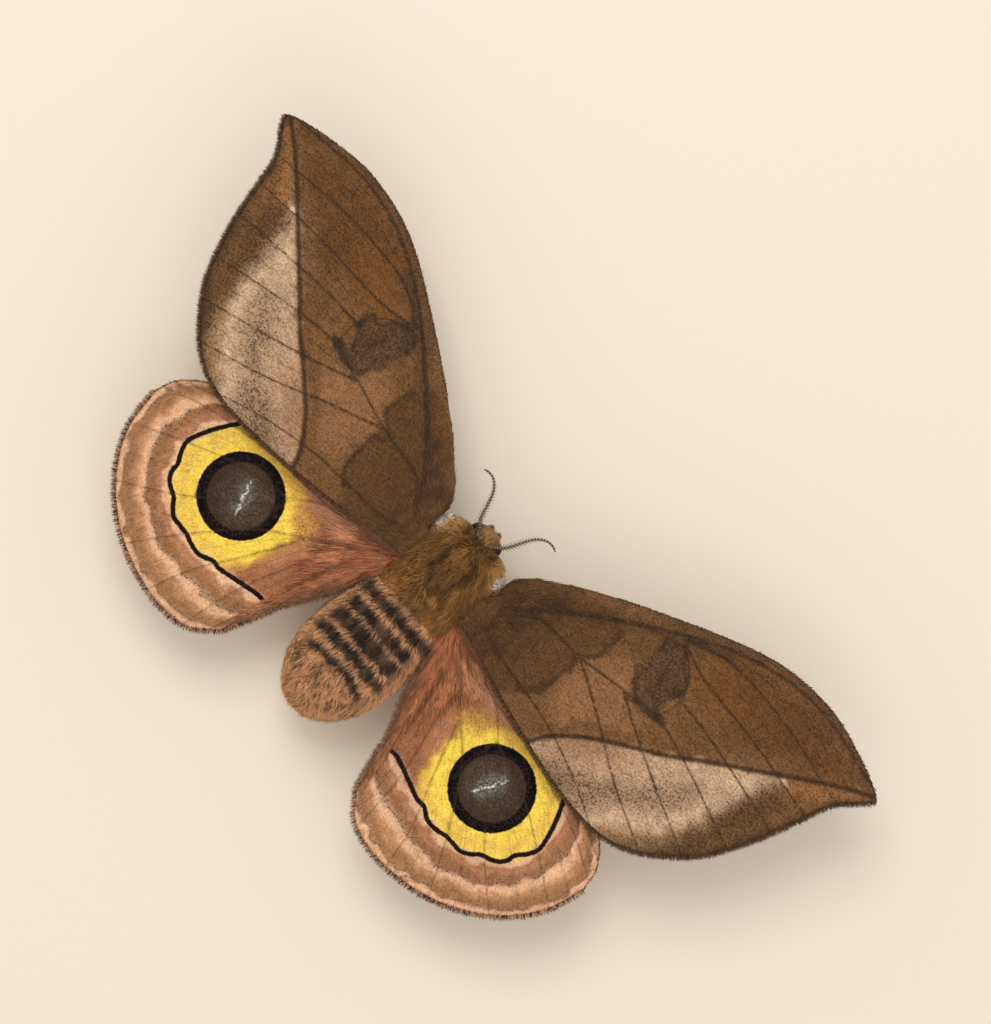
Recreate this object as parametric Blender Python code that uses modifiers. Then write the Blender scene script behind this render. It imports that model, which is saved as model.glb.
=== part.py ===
"""A female eyed silk moth at life size, standing on its six feet with all four wings spread.

Metres, +Z up, head towards +Y, right wings towards +X. Places and sizes are written in
millimetres from the middle of the thorax at floor level, and MM turns them into metres where a
mesh is made. The left side mirrors the right. The last step sets the middle of the moth's box
over the origin, with its soles at z = 0.
"""

import math

import bmesh
import bpy
import numpy as np
from mathutils import Vector, geometry

MM = 0.001

# Clearance that keeps neighbouring parts from touching.
GAP = 0.3

# Wing walls: the membrane, the stoutest veins above it on each face, and the root.
MEMBRANE = 0.5
VEIN_RISE = 0.16
VEIN_TIP_RISE = 0.07
VEIN_HALF_WIDTH = 0.42
ROOT_THICKNESS = 1.1
ROOT_TAPER_LENGTH = 6.0

# Spacing of the points on a wing's margin, along its veins and over its open membrane.
MARGIN_STEP = 1.9
VEIN_STEP = 2.6
MEMBRANE_STEP = 4.4

# Where each wing leaves the thorax: the plane of its root, the root's ends and its height.
FOREWING_ROOT_X = 5.7
FOREWING_ROOT_FRONT = 2.0
FOREWING_ROOT_BACK = -2.7
FOREWING_ROOT_Z = 9.6
HINDWING_ROOT_X = 5.5
HINDWING_ROOT_FRONT = -1.9
HINDWING_ROOT_BACK = -5.2
HINDWING_ROOT_Z = 8.0

# How each wing stands: its rise from root to tip and the sag of its edges below its middle.
FOREWING_REACH = 49.3
FOREWING_RISE = 2.2
FOREWING_CAMBER = 0.9
FOREWING_HALF_CHORD = 13.0
FOREWING_MIDDLE_SLOPE = 0.33
HINDWING_REACH = 36.2
HINDWING_RISE = 0.5
HINDWING_CAMBER = 0.8
HINDWING_HALF_CHORD = 13.0
HINDWING_MIDDLE_Y = -14.0

# Margin of the right forewing, out along the costa to the hooked apex and back by the tornus.
FOREWING_MARGIN = [
    (FOREWING_ROOT_X, FOREWING_ROOT_FRONT),
    (5.3, 3.4),
    (5.2, 4.7),
    (7.2, 7.4),
    (11.0, 10.6),
    (20.0, 16.0),
    (30.0, 20.9),
    (38.0, 22.2),
    (44.5, 21.1),
    (48.4, 19.8),
    (FOREWING_REACH, 18.9),
    (48.4, 17.5),
    (46.4, 14.9),
    (45.3, 11.0),
    (43.9, 6.2),
    (41.4, 0.6),
    (38.0, -3.3),
    (34.0, -5.9),
    (29.0, -6.8),
    (23.0, -6.4),
    (15.0, -5.1),
    (9.0, -3.8),
    (FOREWING_ROOT_X, FOREWING_ROOT_BACK),
]

# Margin of the right hindwing, out under the forewing, round the broad hind edge, and back in.
HINDWING_MARGIN = [
    (HINDWING_ROOT_X, HINDWING_ROOT_FRONT),
    (10.0, -0.9),
    (18.0, -1.3),
    (26.0, -3.1),
    (32.0, -5.5),
    (35.2, -8.4),
    (HINDWING_REACH, -11.4),
    (35.0, -16.4),
    (31.8, -21.0),
    (26.6, -24.7),
    (19.8, -26.6),
    (14.2, -26.0),
    (11.0, -23.2),
    (9.8, -19.4),
    (8.9, -16.2),
    (7.3, -12.4),
    (6.2, -8.8),
    (HINDWING_ROOT_X, HINDWING_ROOT_BACK),
]

# Main veins of the right forewing, each from the root or its fork to just inside the margin.
FOREWING_VEINS = {
    "radius": [(6.2, 1.7), (13.0, 8.2), (22.0, 15.1), (30.0, 19.4), (38.0, 20.9), (47.2, 19.7)],
    "sector": [(22.6, 14.9), (27.5, 16.9), (36.0, 17.0), (45.2, 15.7)],
    "media_1": [(22.3, 14.6), (27.0, 13.5), (36.0, 13.1), (44.4, 12.1)],
    "media_2": [(26.9, 10.1), (33.0, 9.7), (43.6, 8.2)],
    "media_3": [(22.2, 6.1), (26.6, 6.9), (32.0, 6.1), (42.2, 3.4)],
    "cubitus": [(6.2, 1.0), (10.0, 4.1), (16.2, 4.9), (22.0, 6.1)],
    "cubitus_1": [(22.2, 6.0), (27.0, 3.9), (33.0, 1.6), (39.6, -0.5)],
    "cubitus_2": [(16.4, 4.8), (22.0, 2.3), (29.0, -1.2), (36.3, -3.7)],
    "anal": [(6.3, -0.8), (11.0, -1.7), (19.0, -2.5), (26.0, -4.3), (31.0, -5.8)],
    "cell_end": [(22.4, 14.5), (25.4, 12.6), (26.9, 10.1), (26.6, 7.0)],
}

# Main veins of the right hindwing.
HINDWING_VEINS = {
    "radius": [(6.1, -2.6), (14.0, -2.7), (25.0, -4.6), (33.2, -7.6)],
    "sector": [(14.2, -5.4), (22.0, -6.2), (30.0, -8.0), (34.9, -10.2)],
    "media_stem": [(6.1, -3.2), (9.5, -4.6), (14.0, -5.4), (17.4, -7.8)],
    "media_1": [(17.6, -8.0), (23.5, -9.6), (29.0, -12.2), (34.2, -15.0)],
    "media_2": [(17.2, -9.2), (21.5, -13.0), (26.2, -17.3), (30.8, -20.5)],
    "cubitus": [(6.1, -3.9), (9.4, -6.4), (13.0, -9.4)],
    "media_3": [(13.2, -9.5), (17.2, -12.9), (21.4, -18.4), (25.2, -24.2)],
    "cubitus_1": [(13.0, -9.7), (15.7, -15.6), (18.4, -21.0), (19.8, -25.6)],
    "cubitus_2": [(9.6, -7.0), (11.6, -12.4), (13.6, -19.0), (14.6, -25.0)],
    "anal": [(6.2, -4.6), (8.2, -9.4), (10.4, -16.6), (12.0, -21.6)],
    "cell_end": [(17.5, -7.9), (17.3, -9.2), (17.2, -12.6)],
}

# Body stations from front to back: (y, half width, underside z, top z).
THORAX_FRONT = 4.1
THORAX_BACK = -5.6
THORAX_STATIONS = [
    (THORAX_FRONT, 3.3, 4.5, 10.7),
    (3.7, 4.0, 4.0, 11.3),
    (2.8, 4.55, 3.6, 12.0),
    (1.2, 4.95, 3.2, 12.6),
    (-0.8, 5.1, 3.1, 12.7),
    (-3.0, 5.05, 3.1, 12.2),
    (-4.6, 4.8, 3.1, 11.6),
    (THORAX_BACK, 4.65, 3.0, 11.4),
]
ABDOMEN_FRONT = THORAX_BACK - GAP
ABDOMEN_TIP = -22.5
ABDOMEN_STATIONS = [
    (ABDOMEN_FRONT, 4.7, 2.9, 11.4),
    (-8.0, 5.4, 2.1, 11.6),
    (-11.0, 5.9, 1.6, 11.5),
    (-14.5, 6.0, 1.4, 11.2),
    (-17.5, 5.5, 1.5, 10.5),
    (-20.0, 4.2, 2.1, 9.3),
    (-21.6, 2.5, 3.1, 8.0),
    (ABDOMEN_TIP, 0.7, 4.7, 6.3),
]
ABDOMEN_SEGMENTS = 7
SEGMENT_PINCH = 0.035
HEAD_BACK = THORAX_FRONT + GAP
HEAD_STATIONS = [
    (HEAD_BACK, 1.6, 5.5, 9.2),
    (4.9, 1.75, 5.2, 9.5),
    (5.5, 1.7, 5.1, 9.5),
    (6.05, 1.4, 5.3, 9.2),
    (6.5, 0.95, 5.8, 8.8),
    (6.8, 0.35, 6.5, 8.2),
]
SECTION_POWER = 2.15

# Lobes of the thorax: the paired collar lobes and the shoulder flaps over the wing roots.
COLLAR_LOBE_CENTRE = (2.95, 3.3, 8.9)
COLLAR_LOBE_RADII = (1.75, 2.0, 2.3)
SHOULDER_FLAP_CENTRE = (3.95, 0.7, 10.3)
SHOULDER_FLAP_RADII = (1.3, 3.3, 1.3)

# Eyes: domes in round, flat-floored sockets at the sides of the head.
EYE_SOCKET_X = 1.15
EYE_CENTRE = (1.3, 5.4, 7.15)
EYE_RADIUS = 0.95

# Feelers: the peg on the head, then the line of the thread out to its tip.
FEELER_PEG = [(0.8, 5.2, 8.4), (1.55, 5.75, 9.1)]
FEELER_PEG_RADIUS = 0.36
FEELER_LINE = [
    (2.25, 6.7, 9.7),
    (2.75, 8.0, 10.1),
    (3.4, 9.4, 10.3),
    (4.3, 10.3, 10.4),
    (5.2, 10.5, 10.3),
    (6.1, 10.2, 10.0),
]
FEELER_RADII = (0.32, 0.2)
FEELER_JOINTS = 15

# Mouth feelers, fused to the front of the head.
PALP_LINE = [(0.5, 5.6, 5.7), (0.6, 6.4, 5.9), (0.55, 6.85, 6.5)]
PALP_RADII = (0.45, 0.26)

# Legs: the hip's two ends, then the places of knee, ankle and toe. The sole lies on the floor.
SOLE_HEIGHT = 0.3
LEGS = {
    "foreleg": {
        "hip": [(0.9, 1.6, 5.0), (2.6, 2.3, 3.9)],
        "knee": (6.4, 3.3, 5.0),
        "ankle": (8.7, 5.4, 0.9),
        "toe": (11.4, 7.7, SOLE_HEIGHT),
    },
    "midleg": {
        "hip": [(1.0, -0.7, 4.6), (3.2, -0.9, 3.6)],
        "knee": (7.7, -1.1, 4.7),
        "ankle": (10.6, -1.4, 0.9),
        "toe": (14.3, -1.8, SOLE_HEIGHT),
    },
    "hindleg": {
        "hip": [(1.0, -3.2, 4.6), (3.0, -4.1, 3.6)],
        "knee": (6.9, -6.2, 4.4),
        "ankle": (8.8, -9.6, 0.9),
        "toe": (10.2, -13.4, SOLE_HEIGHT),
    },
}
HIP_RADII = (1.0, 0.78)
THIGH_RADII = (0.72, 0.86, 0.5)
SHIN_RADII = (0.5, 0.66, 0.42)
FOOT_JOINTS = 4
FOOT_RADII = (0.44, 0.34)
CLAW_LENGTH = 0.5
CLAW_RADIUS = 0.14

SIDES = (("right", 1.0), ("left", -1.0))

# Colours as the moth wears them: (red, green, blue) and roughness.
BROWN_WING = ((0.20, 0.115, 0.06), 0.75)
ROSE_WING = ((0.50, 0.24, 0.15), 0.75)
BROWN_FUR = ((0.19, 0.115, 0.045), 0.9)
TAN_FUR = ((0.42, 0.22, 0.12), 0.9)
DARK_FUR = ((0.13, 0.085, 0.045), 0.9)
DARK_EYE = ((0.015, 0.011, 0.01), 0.25)
THREAD = ((0.12, 0.09, 0.06), 0.6)


def clear_scene():
    for obj in list(bpy.data.objects):
        bpy.data.objects.remove(obj)


def new_collection(name):
    made = bpy.data.collections.new(name)
    bpy.context.scene.collection.children.link(made)
    return made


def finish_of(name, look):
    colour, roughness = look
    material = bpy.data.materials.new(name)
    material.use_nodes = True
    shader = material.node_tree.nodes["Principled BSDF"]
    shader.inputs["Base Color"].default_value = (*colour, 1.0)
    shader.inputs["Roughness"].default_value = roughness
    shader.inputs["Metallic"].default_value = 0.0
    return material


def add_object(name, mesh, collection):
    obj = bpy.data.objects.new(name, mesh)
    collection.objects.link(obj)
    return obj


def mesh_of(name, bm):
    """Closes off a bmesh as a mesh whose faces point out."""
    bmesh.ops.recalc_face_normals(bm, faces=bm.faces)
    mesh = bpy.data.meshes.new(name)
    bm.to_mesh(mesh)
    bm.free()
    return mesh


def mirrored(points, side):
    """The points on the side asked for: 1 is the right, -1 the left."""
    return [(side * point[0], *point[1:]) for point in points]


def curve_through(points, step):
    """A smooth line through the points, as an array with one sample about every step."""
    given = np.asarray(points, float)
    spans = np.linalg.norm(np.diff(given[:, :3], axis=0), axis=1)
    knots = np.concatenate([[0.0], np.cumsum(np.sqrt(spans))])
    first = given[0] - (given[1] - given[0])
    last = given[-1] + (given[-1] - given[-2])
    padded = np.vstack([first, given, last])
    padded_knots = np.concatenate([[knots[0] - knots[1]], knots, [2 * knots[-1] - knots[-2]]])
    samples = []
    for i, span in enumerate(spans):
        a, b, c, d = padded[i : i + 4]
        ta, tb, tc, td = padded_knots[i : i + 4]
        count = max(1, round(span / step))
        for t in tb + (tc - tb) * np.arange(count) / count:
            ab = a + (b - a) * (t - ta) / (tb - ta)
            bc = b + (c - b) * (t - tb) / (tc - tb)
            cd = c + (d - c) * (t - tc) / (td - tc)
            abc = ab + (bc - ab) * (t - ta) / (tc - ta)
            bcd = bc + (cd - bc) * (t - tb) / (td - tb)
            samples.append(abc + (bcd - abc) * (t - tb) / (tc - tb))
    samples.append(given[-1])
    return np.array(samples)


def normals_of(line):
    """Unit vectors square to a flat line at each of its points."""
    along = np.gradient(line, axis=0)
    along /= np.linalg.norm(along, axis=1)[:, None]
    return np.column_stack([-along[:, 1], along[:, 0]])


def distance_to(points, line):
    """The distance of each flat point from a flat polyline, and how far along the line it is."""
    best = np.full(len(points), np.inf)
    share = np.zeros(len(points))
    pieces = len(line) - 1
    for i in range(pieces):
        start, span = line[i], line[i + 1] - line[i]
        t = np.clip((points - start) @ span / (span @ span), 0, 1)
        away = np.linalg.norm(points - start - t[:, None] * span, axis=1)
        nearer = away < best
        best[nearer] = away[nearer]
        share[nearer] = (i + t[nearer]) / pieces
    return best, share


def inside(points, loop):
    """Which flat points lie within a closed loop, by counting the edges to their right."""
    x, y = points[:, 0], points[:, 1]
    found = np.zeros(len(points), bool)
    for (ax, ay), (bx, by) in zip(loop, np.roll(loop, -1, axis=0)):
        crosses = (ay > y) != (by > y)
        reach = ax + (y - ay) * (bx - ax) / np.where(by == ay, 1.0, by - ay)
        found ^= crosses & (x < reach)
    return found


def forewing_height(points):
    """Height of the forewing's middle surface: it rises to the tip and its edges sag."""
    x, y = points[:, 0], points[:, 1]
    out = (x - FOREWING_ROOT_X) / (FOREWING_REACH - FOREWING_ROOT_X)
    middle = FOREWING_MIDDLE_SLOPE * (x - FOREWING_ROOT_X)
    sag = FOREWING_CAMBER * ((y - middle) / FOREWING_HALF_CHORD) ** 2
    return FOREWING_ROOT_Z + FOREWING_RISE * out - sag * np.clip(4 * out, 0, 1)


def hindwing_height(points):
    """Height of the hindwing's middle surface, which lies below the forewing's."""
    x, y = points[:, 0], points[:, 1]
    out = (x - HINDWING_ROOT_X) / (HINDWING_REACH - HINDWING_ROOT_X)
    sag = HINDWING_CAMBER * ((y - HINDWING_MIDDLE_Y) / HINDWING_HALF_CHORD) ** 2
    return HINDWING_ROOT_Z + HINDWING_RISE * out - sag * np.clip(3 * out, 0, 1)


def wing_points(margin, veins):
    """The flat points of a wing's net, in order: margin, vein crests, vein shoulders, membrane."""
    points = list(margin)
    links = []
    for line in veins.values():
        first = len(points)
        points += list(line)
        links += [(first + i, first + i + 1) for i in range(len(line) - 1)]
    taken = np.array(points)
    for line in veins.values():
        square = normals_of(line)
        for flank in (-VEIN_HALF_WIDTH, VEIN_HALF_WIDTH):
            shoulder = line + flank * square
            crest_gap = np.min([distance_to(shoulder, other)[0] for other in veins.values()], axis=0)
            edge_gap = distance_to(shoulder, np.vstack([margin, margin[:1]]))[0]
            keep = (crest_gap > 0.9 * VEIN_HALF_WIDTH) & (edge_gap > VEIN_HALF_WIDTH)
            shoulder = shoulder[keep & inside(shoulder, margin)]
            taken = np.vstack([taken, shoulder])
    rows = np.arange(margin[:, 1].min(), margin[:, 1].max(), MEMBRANE_STEP * math.sqrt(0.75))
    for k, y in enumerate(rows):
        shift = 0.5 * MEMBRANE_STEP * (k % 2)
        row = np.arange(margin[:, 0].min() + shift, margin[:, 0].max(), MEMBRANE_STEP)
        spots = np.column_stack([row, np.full(len(row), y)])
        spots = spots[inside(spots, margin)]
        if len(spots):
            apart = np.linalg.norm(spots[:, None] - taken[None], axis=2).min(axis=1)
            taken = np.vstack([taken, spots[apart > 0.4 * MEMBRANE_STEP]])
    return taken, links


def wall_thickness(points, veins, root_x):
    """Full thickness at each point: the membrane, the veins on both faces, and the stout root."""
    rise = np.zeros(len(points))
    for line in veins.values():
        away, along = distance_to(points, line)
        crest = VEIN_RISE + (VEIN_TIP_RISE - VEIN_RISE) * along
        rise = np.maximum(rise, crest * np.clip(1 - away / VEIN_HALF_WIDTH, 0, 1))
    near_root = np.clip(1 - (points[:, 0] - root_x) / ROOT_TAPER_LENGTH, 0, 1)
    body = MEMBRANE + (ROOT_THICKNESS - MEMBRANE) * near_root**2
    return np.minimum(body + 2 * rise, ROOT_THICKNESS)


def build_wing(name, side, margin_marks, vein_marks, height, root_x, material, collection):
    """A wing as one net whose wall is thicker along its veins and at its root."""
    margin = curve_through(margin_marks, MARGIN_STEP)
    veins = {vein: curve_through(marks, VEIN_STEP) for vein, marks in vein_marks.items()}
    points, links = wing_points(margin, veins)
    edge = [list(range(len(margin)))]
    flat, _, faces, *_ = geometry.delaunay_2d_cdt([Vector(p) for p in points], links, edge, 1, 1e-4)
    flat = np.array([(p.x, p.y) for p in flat])
    z = height(flat)
    vertices = np.column_stack([side * flat[:, 0], flat[:, 1], z]) * MM
    faces = [list(face) if side > 0 else list(reversed(face)) for face in faces]
    mesh = bpy.data.meshes.new(name)
    mesh.from_pydata(vertices.tolist(), [], faces)
    mesh.update()
    wing = add_object(name, mesh, collection)
    wall = wing.vertex_groups.new(name="wall")
    for i, thickness in enumerate(wall_thickness(flat, veins, root_x)):
        wall.add([i], thickness / ROOT_THICKNESS, "REPLACE")
    solidify = wing.modifiers.new("wall", "SOLIDIFY")
    solidify.thickness = ROOT_THICKNESS * MM
    solidify.offset = 0.0
    solidify.vertex_group = "wall"
    solidify.thickness_vertex_group = 0.0
    mesh.materials.append(material)
    return wing


def body_rings(stations, ring_count):
    """Stations spaced evenly by their place in the list, blended by a smooth curve."""
    fine = curve_through(stations, 0.1)
    pick = np.linspace(0, len(fine) - 1, ring_count).round().astype(int)
    return fine[pick]


def loft_body(name, rings, around):
    """A closed body of rounded cross sections along y, with a flat face at each end."""
    bm = bmesh.new()
    angles = 2 * np.pi * np.arange(around) / around
    ring_x = np.sign(np.cos(angles)) * np.abs(np.cos(angles)) ** (2 / SECTION_POWER)
    ring_z = np.sign(np.sin(angles)) * np.abs(np.sin(angles)) ** (2 / SECTION_POWER)
    loops = []
    for y, half_width, low, high in rings:
        middle, half_height = (low + high) / 2, (high - low) / 2
        places = zip(half_width * ring_x, middle + half_height * ring_z)
        loops.append([bm.verts.new((x * MM, y * MM, z * MM)) for x, z in places])
    for one, two in zip(loops, loops[1:]):
        for i in range(around):
            j = (i + 1) % around
            bm.faces.new((one[i], one[j], two[j], two[i]))
    bm.faces.new(loops[0])
    bm.faces.new(loops[-1])
    return mesh_of(name, bm)


def ellipsoid(name, centre, radii, around, rings):
    """A ball stretched to three radii."""
    bm = bmesh.new()
    bmesh.ops.create_uvsphere(bm, u_segments=around, v_segments=rings, radius=1.0)
    bmesh.ops.scale(bm, vec=Vector(radii) * MM, verts=bm.verts)
    bmesh.ops.translate(bm, vec=Vector(centre) * MM, verts=bm.verts)
    return mesh_of(name, bm)


def cone_between(name, ends, radii, around):
    """A cone with flat ends from one point to another."""
    start, end = Vector(ends[0]) * MM, Vector(ends[1]) * MM
    axis = end - start
    bm = bmesh.new()
    bmesh.ops.create_cone(
        bm, cap_ends=True, segments=around, radius1=radii[0] * MM, radius2=radii[1] * MM, depth=axis.length
    )
    bmesh.ops.rotate(bm, matrix=axis.to_track_quat("Z", "Y").to_matrix(), verts=bm.verts)
    bmesh.ops.translate(bm, vec=(start + end) / 2, verts=bm.verts)
    return mesh_of(name, bm)


def root_block(name, side, outer_x, front, back, z, thickness):
    """The block on the thorax whose flat outer face meets a wing's root."""
    inner_x = outer_x - 2.2
    bm = bmesh.new()
    bmesh.ops.create_cube(bm, size=1.0)
    size = Vector((outer_x - inner_x, front - back, thickness)) * MM
    middle = Vector((side * (outer_x + inner_x) / 2, (front + back) / 2, z)) * MM
    bmesh.ops.scale(bm, vec=size, verts=bm.verts)
    bmesh.ops.translate(bm, vec=middle, verts=bm.verts)
    return mesh_of(name, bm)


def tube(name, points, radii, resolution, collection):
    """A round tube along points in millimetres, with a radius at each and filled ends."""
    curve = bpy.data.curves.new(name, "CURVE")
    curve.dimensions = "3D"
    curve.bevel_depth = MM
    curve.bevel_resolution = resolution
    curve.use_fill_caps = True
    spline = curve.splines.new("POLY")
    spline.points.add(len(points) - 1)
    for knot, place, radius in zip(spline.points, points, radii):
        knot.co = (*(Vector(place) * MM), 1.0)
        knot.radius = radius
    return add_object(name, curve, collection)


def as_mesh(obj, collection):
    """A curve object as a mesh object with its end caps welded, and the curve removed."""
    bpy.context.view_layer.update()
    graph = bpy.context.evaluated_depsgraph_get()
    mesh = bpy.data.meshes.new_from_object(obj.evaluated_get(graph))
    name = obj.name
    bpy.data.objects.remove(obj)
    mesh.name = name
    bm = bmesh.new()
    bm.from_mesh(mesh)
    bmesh.ops.remove_doubles(bm, verts=bm.verts, dist=0.001 * MM)
    bmesh.ops.recalc_face_normals(bm, faces=bm.faces)
    bm.to_mesh(mesh)
    bm.free()
    return add_object(name, mesh, collection)


def cut_by(obj, point, normal):
    """Cuts off what lies beyond a plane and closes the cut with a flat face."""
    bm = bmesh.new()
    bm.from_mesh(obj.data)
    cut = bmesh.ops.bisect_plane(
        bm,
        geom=bm.verts[:] + bm.edges[:] + bm.faces[:],
        dist=1e-7,
        plane_co=Vector(point) * MM,
        plane_no=normal,
        clear_outer=True,
    )
    rim = [item for item in cut["geom_cut"] if isinstance(item, bmesh.types.BMEdge)]
    bmesh.ops.edgenet_fill(bm, edges=rim)
    bmesh.ops.recalc_face_normals(bm, faces=bm.faces)
    bm.to_mesh(obj.data)
    bm.free()


def keep_largest(mesh):
    """Drops every closed surface of a mesh but the one with the most vertices."""
    bm = bmesh.new()
    bm.from_mesh(mesh)
    left = set(bm.verts)
    groups = []
    while left:
        stack, group = [left.pop()], set()
        while stack:
            vertex = stack.pop()
            group.add(vertex)
            near = {edge.other_vert(vertex) for edge in vertex.link_edges} & left
            left -= near
            stack += near
        groups.append(group)
    groups.sort(key=len)
    for group in groups[:-1]:
        bmesh.ops.delete(bm, geom=list(group), context="VERTS")
    bm.to_mesh(mesh)
    bm.free()


def join_or_cut(name, core, pieces, operation, collection):
    """One Boolean of closed meshes on a core, UNION or DIFFERENCE, with the loose pieces removed."""
    tools = new_collection(name + "_pieces")
    for i, piece in enumerate(pieces):
        add_object(f"{name}_piece_{i}", piece, tools)
    host = add_object(name + "_core", core, collection)
    boolean = host.modifiers.new("boolean", "BOOLEAN")
    boolean.operation = operation
    boolean.operand_type = "COLLECTION"
    boolean.collection = tools
    boolean.solver = "EXACT"
    bpy.context.view_layer.update()
    graph = bpy.context.evaluated_depsgraph_get()
    mesh = bpy.data.meshes.new_from_object(host.evaluated_get(graph))
    mesh.name = name
    mesh.materials.clear()
    keep_largest(mesh)
    for obj in [host, *tools.objects]:
        bpy.data.objects.remove(obj)
    bpy.data.collections.remove(tools)
    return mesh


def build_abdomen(material, collection):
    """The plump abdomen, pinched in where its segments meet."""
    rings = body_rings(ABDOMEN_STATIONS, 4 * ABDOMEN_SEGMENTS + 1)
    for i, ring in enumerate(rings):
        pinch = SEGMENT_PINCH * (i % 4 == 0 and 0 < i < len(rings) - 1)
        middle = (ring[2] + ring[3]) / 2
        ring[1] *= 1 - pinch
        ring[2:] = middle + (ring[2:] - middle) * (1 - pinch)
    abdomen = add_object("abdomen", loft_body("abdomen", rings, 24), collection)
    abdomen.data.materials.append(material)
    return abdomen


def build_thorax(material, collection):
    """The thorax with its collar lobes, shoulder flaps, wing root blocks and hips."""
    core = loft_body("thorax", body_rings(THORAX_STATIONS, 15), 28)
    pieces = []
    for _, side in SIDES:
        (collar,) = mirrored([COLLAR_LOBE_CENTRE], side)
        (flap,) = mirrored([SHOULDER_FLAP_CENTRE], side)
        pieces.append(ellipsoid("collar", collar, COLLAR_LOBE_RADII, 14, 8))
        pieces.append(ellipsoid("flap", flap, SHOULDER_FLAP_RADII, 12, 10))
        pieces.append(
            root_block(
                "forewing_root",
                side,
                FOREWING_ROOT_X - GAP,
                FOREWING_ROOT_FRONT,
                FOREWING_ROOT_BACK,
                FOREWING_ROOT_Z,
                ROOT_THICKNESS,
            )
        )
        pieces.append(
            root_block(
                "hindwing_root",
                side,
                HINDWING_ROOT_X - GAP,
                HINDWING_ROOT_FRONT,
                HINDWING_ROOT_BACK,
                HINDWING_ROOT_Z,
                ROOT_THICKNESS,
            )
        )
        for leg in LEGS.values():
            pieces.append(cone_between("hip", mirrored(leg["hip"], side), HIP_RADII, 10))
    thorax = add_object("thorax", join_or_cut("thorax", core, pieces, "UNION", collection), collection)
    thorax.data.materials.append(material)
    return thorax


def build_head(material, collection):
    """The head with feeler pegs and mouth feelers, and a round socket for each eye."""
    core = loft_body("head", body_rings(HEAD_STATIONS, 11), 24)
    pieces, sockets = [], []
    for _, side in SIDES:
        peg = mirrored(FEELER_PEG, side)
        pieces.append(cone_between("peg", peg, (FEELER_PEG_RADIUS, FEELER_PEG_RADIUS), 8))
        line = curve_through(mirrored(PALP_LINE, side), 0.35)
        radii = np.linspace(*PALP_RADII, len(line))
        palp = as_mesh(tube("palp", line, radii, 2, collection), collection)
        pieces.append(palp.data.copy())
        bpy.data.objects.remove(palp)
        _, y, z = EYE_CENTRE
        ends = mirrored([(EYE_SOCKET_X, y, z), (EYE_SOCKET_X + 2, y, z)], side)
        sockets.append(cone_between("socket", ends, (EYE_RADIUS + GAP,) * 2, 20))
    joined = join_or_cut("head", core, pieces, "UNION", collection)
    head = add_object("head", join_or_cut("head", joined, sockets, "DIFFERENCE", collection), collection)
    head.data.materials.append(material)
    return head


def build_eye(name, side, material, collection):
    """A domed eye, flat where it faces the floor of its socket."""
    (centre,) = mirrored([EYE_CENTRE], side)
    mesh = ellipsoid(name, centre, (EYE_RADIUS,) * 3, 18, 12)
    eye = add_object(name, mesh, collection)
    cut_by(eye, (side * (EYE_SOCKET_X + GAP), 0, 0), (-side, 0, 0))
    mesh.materials.append(material)
    return eye


def build_feeler(name, side, material, collection):
    """A thread of short joints, each waisted at its ends, that starts square to its peg."""
    inner, outer = (Vector(p) for p in mirrored(FEELER_PEG, side))
    away = (outer - inner).normalized()
    start = outer + GAP * away
    path = [tuple(start), tuple(start + 0.35 * away), *mirrored(FEELER_LINE, side)]
    line = curve_through(path, 0.12)
    pick = np.linspace(0, len(line) - 1, 2 * FEELER_JOINTS + 1).round().astype(int)
    radii = np.linspace(*FEELER_RADII, len(pick))
    radii[2::2] *= 0.72
    feeler = as_mesh(tube(name, line[pick], radii, 2, collection), collection)
    feeler.data.materials.append(material)
    return feeler


def leg_marks(start, away, knee, ankle, toe):
    """Places and radii down a leg: thigh, shin, the foot's waisted joints and the claw."""
    marks = [
        (*start, THIGH_RADII[0]),
        (*(start + 0.5 * away), THIGH_RADII[0]),
        (*start.lerp(knee, 0.5), THIGH_RADII[1]),
        (*knee, THIGH_RADII[2]),
        (*knee.lerp(ankle, 0.15), SHIN_RADII[0]),
        (*knee.lerp(ankle, 0.5), SHIN_RADII[1]),
        (*ankle, SHIN_RADII[2]),
    ]
    heel = ankle.lerp(toe, 0.2)
    heel.z = toe.z
    for joint in range(FOOT_JOINTS):
        marks.append((*heel.lerp(toe, (joint + 0.5) / FOOT_JOINTS), FOOT_RADII[0]))
        marks.append((*heel.lerp(toe, (joint + 1) / FOOT_JOINTS), FOOT_RADII[1]))
    marks.append((*(toe + CLAW_LENGTH * (toe - heel).normalized()), CLAW_RADIUS))
    return marks


def build_leg(name, side, leg, material, collection):
    """Thigh, shin, foot and claw as one limb whose sole is cut flat at floor level."""
    hip_inner, hip_outer = (Vector(p) for p in mirrored(leg["hip"], side))
    knee, ankle, toe = (Vector(p) for p in mirrored([leg["knee"], leg["ankle"], leg["toe"]], side))
    away = (hip_outer - hip_inner).normalized()
    line = curve_through(leg_marks(hip_outer + GAP * away, away, knee, ankle, toe), 0.7)
    limb = as_mesh(tube(name, line[:, :3], line[:, 3], 2, collection), collection)
    cut_by(limb, (0, 0, 0), (0, 0, -1))
    limb.data.materials.append(material)
    return limb


def set_on_floor(collection):
    """Moves every part so that the middle of the moth's box stands over the origin."""
    bpy.context.view_layer.update()
    graph = bpy.context.evaluated_depsgraph_get()
    corners = []
    for obj in collection.objects:
        corners += [obj.matrix_world @ Vector(c) for c in obj.evaluated_get(graph).bound_box]
    low = [min(c[i] for c in corners) for i in range(2)]
    high = [max(c[i] for c in corners) for i in range(2)]
    shift = Vector((-(low[0] + high[0]) / 2, -(low[1] + high[1]) / 2, 0))
    for obj in collection.objects:
        obj.location += shift


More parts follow.
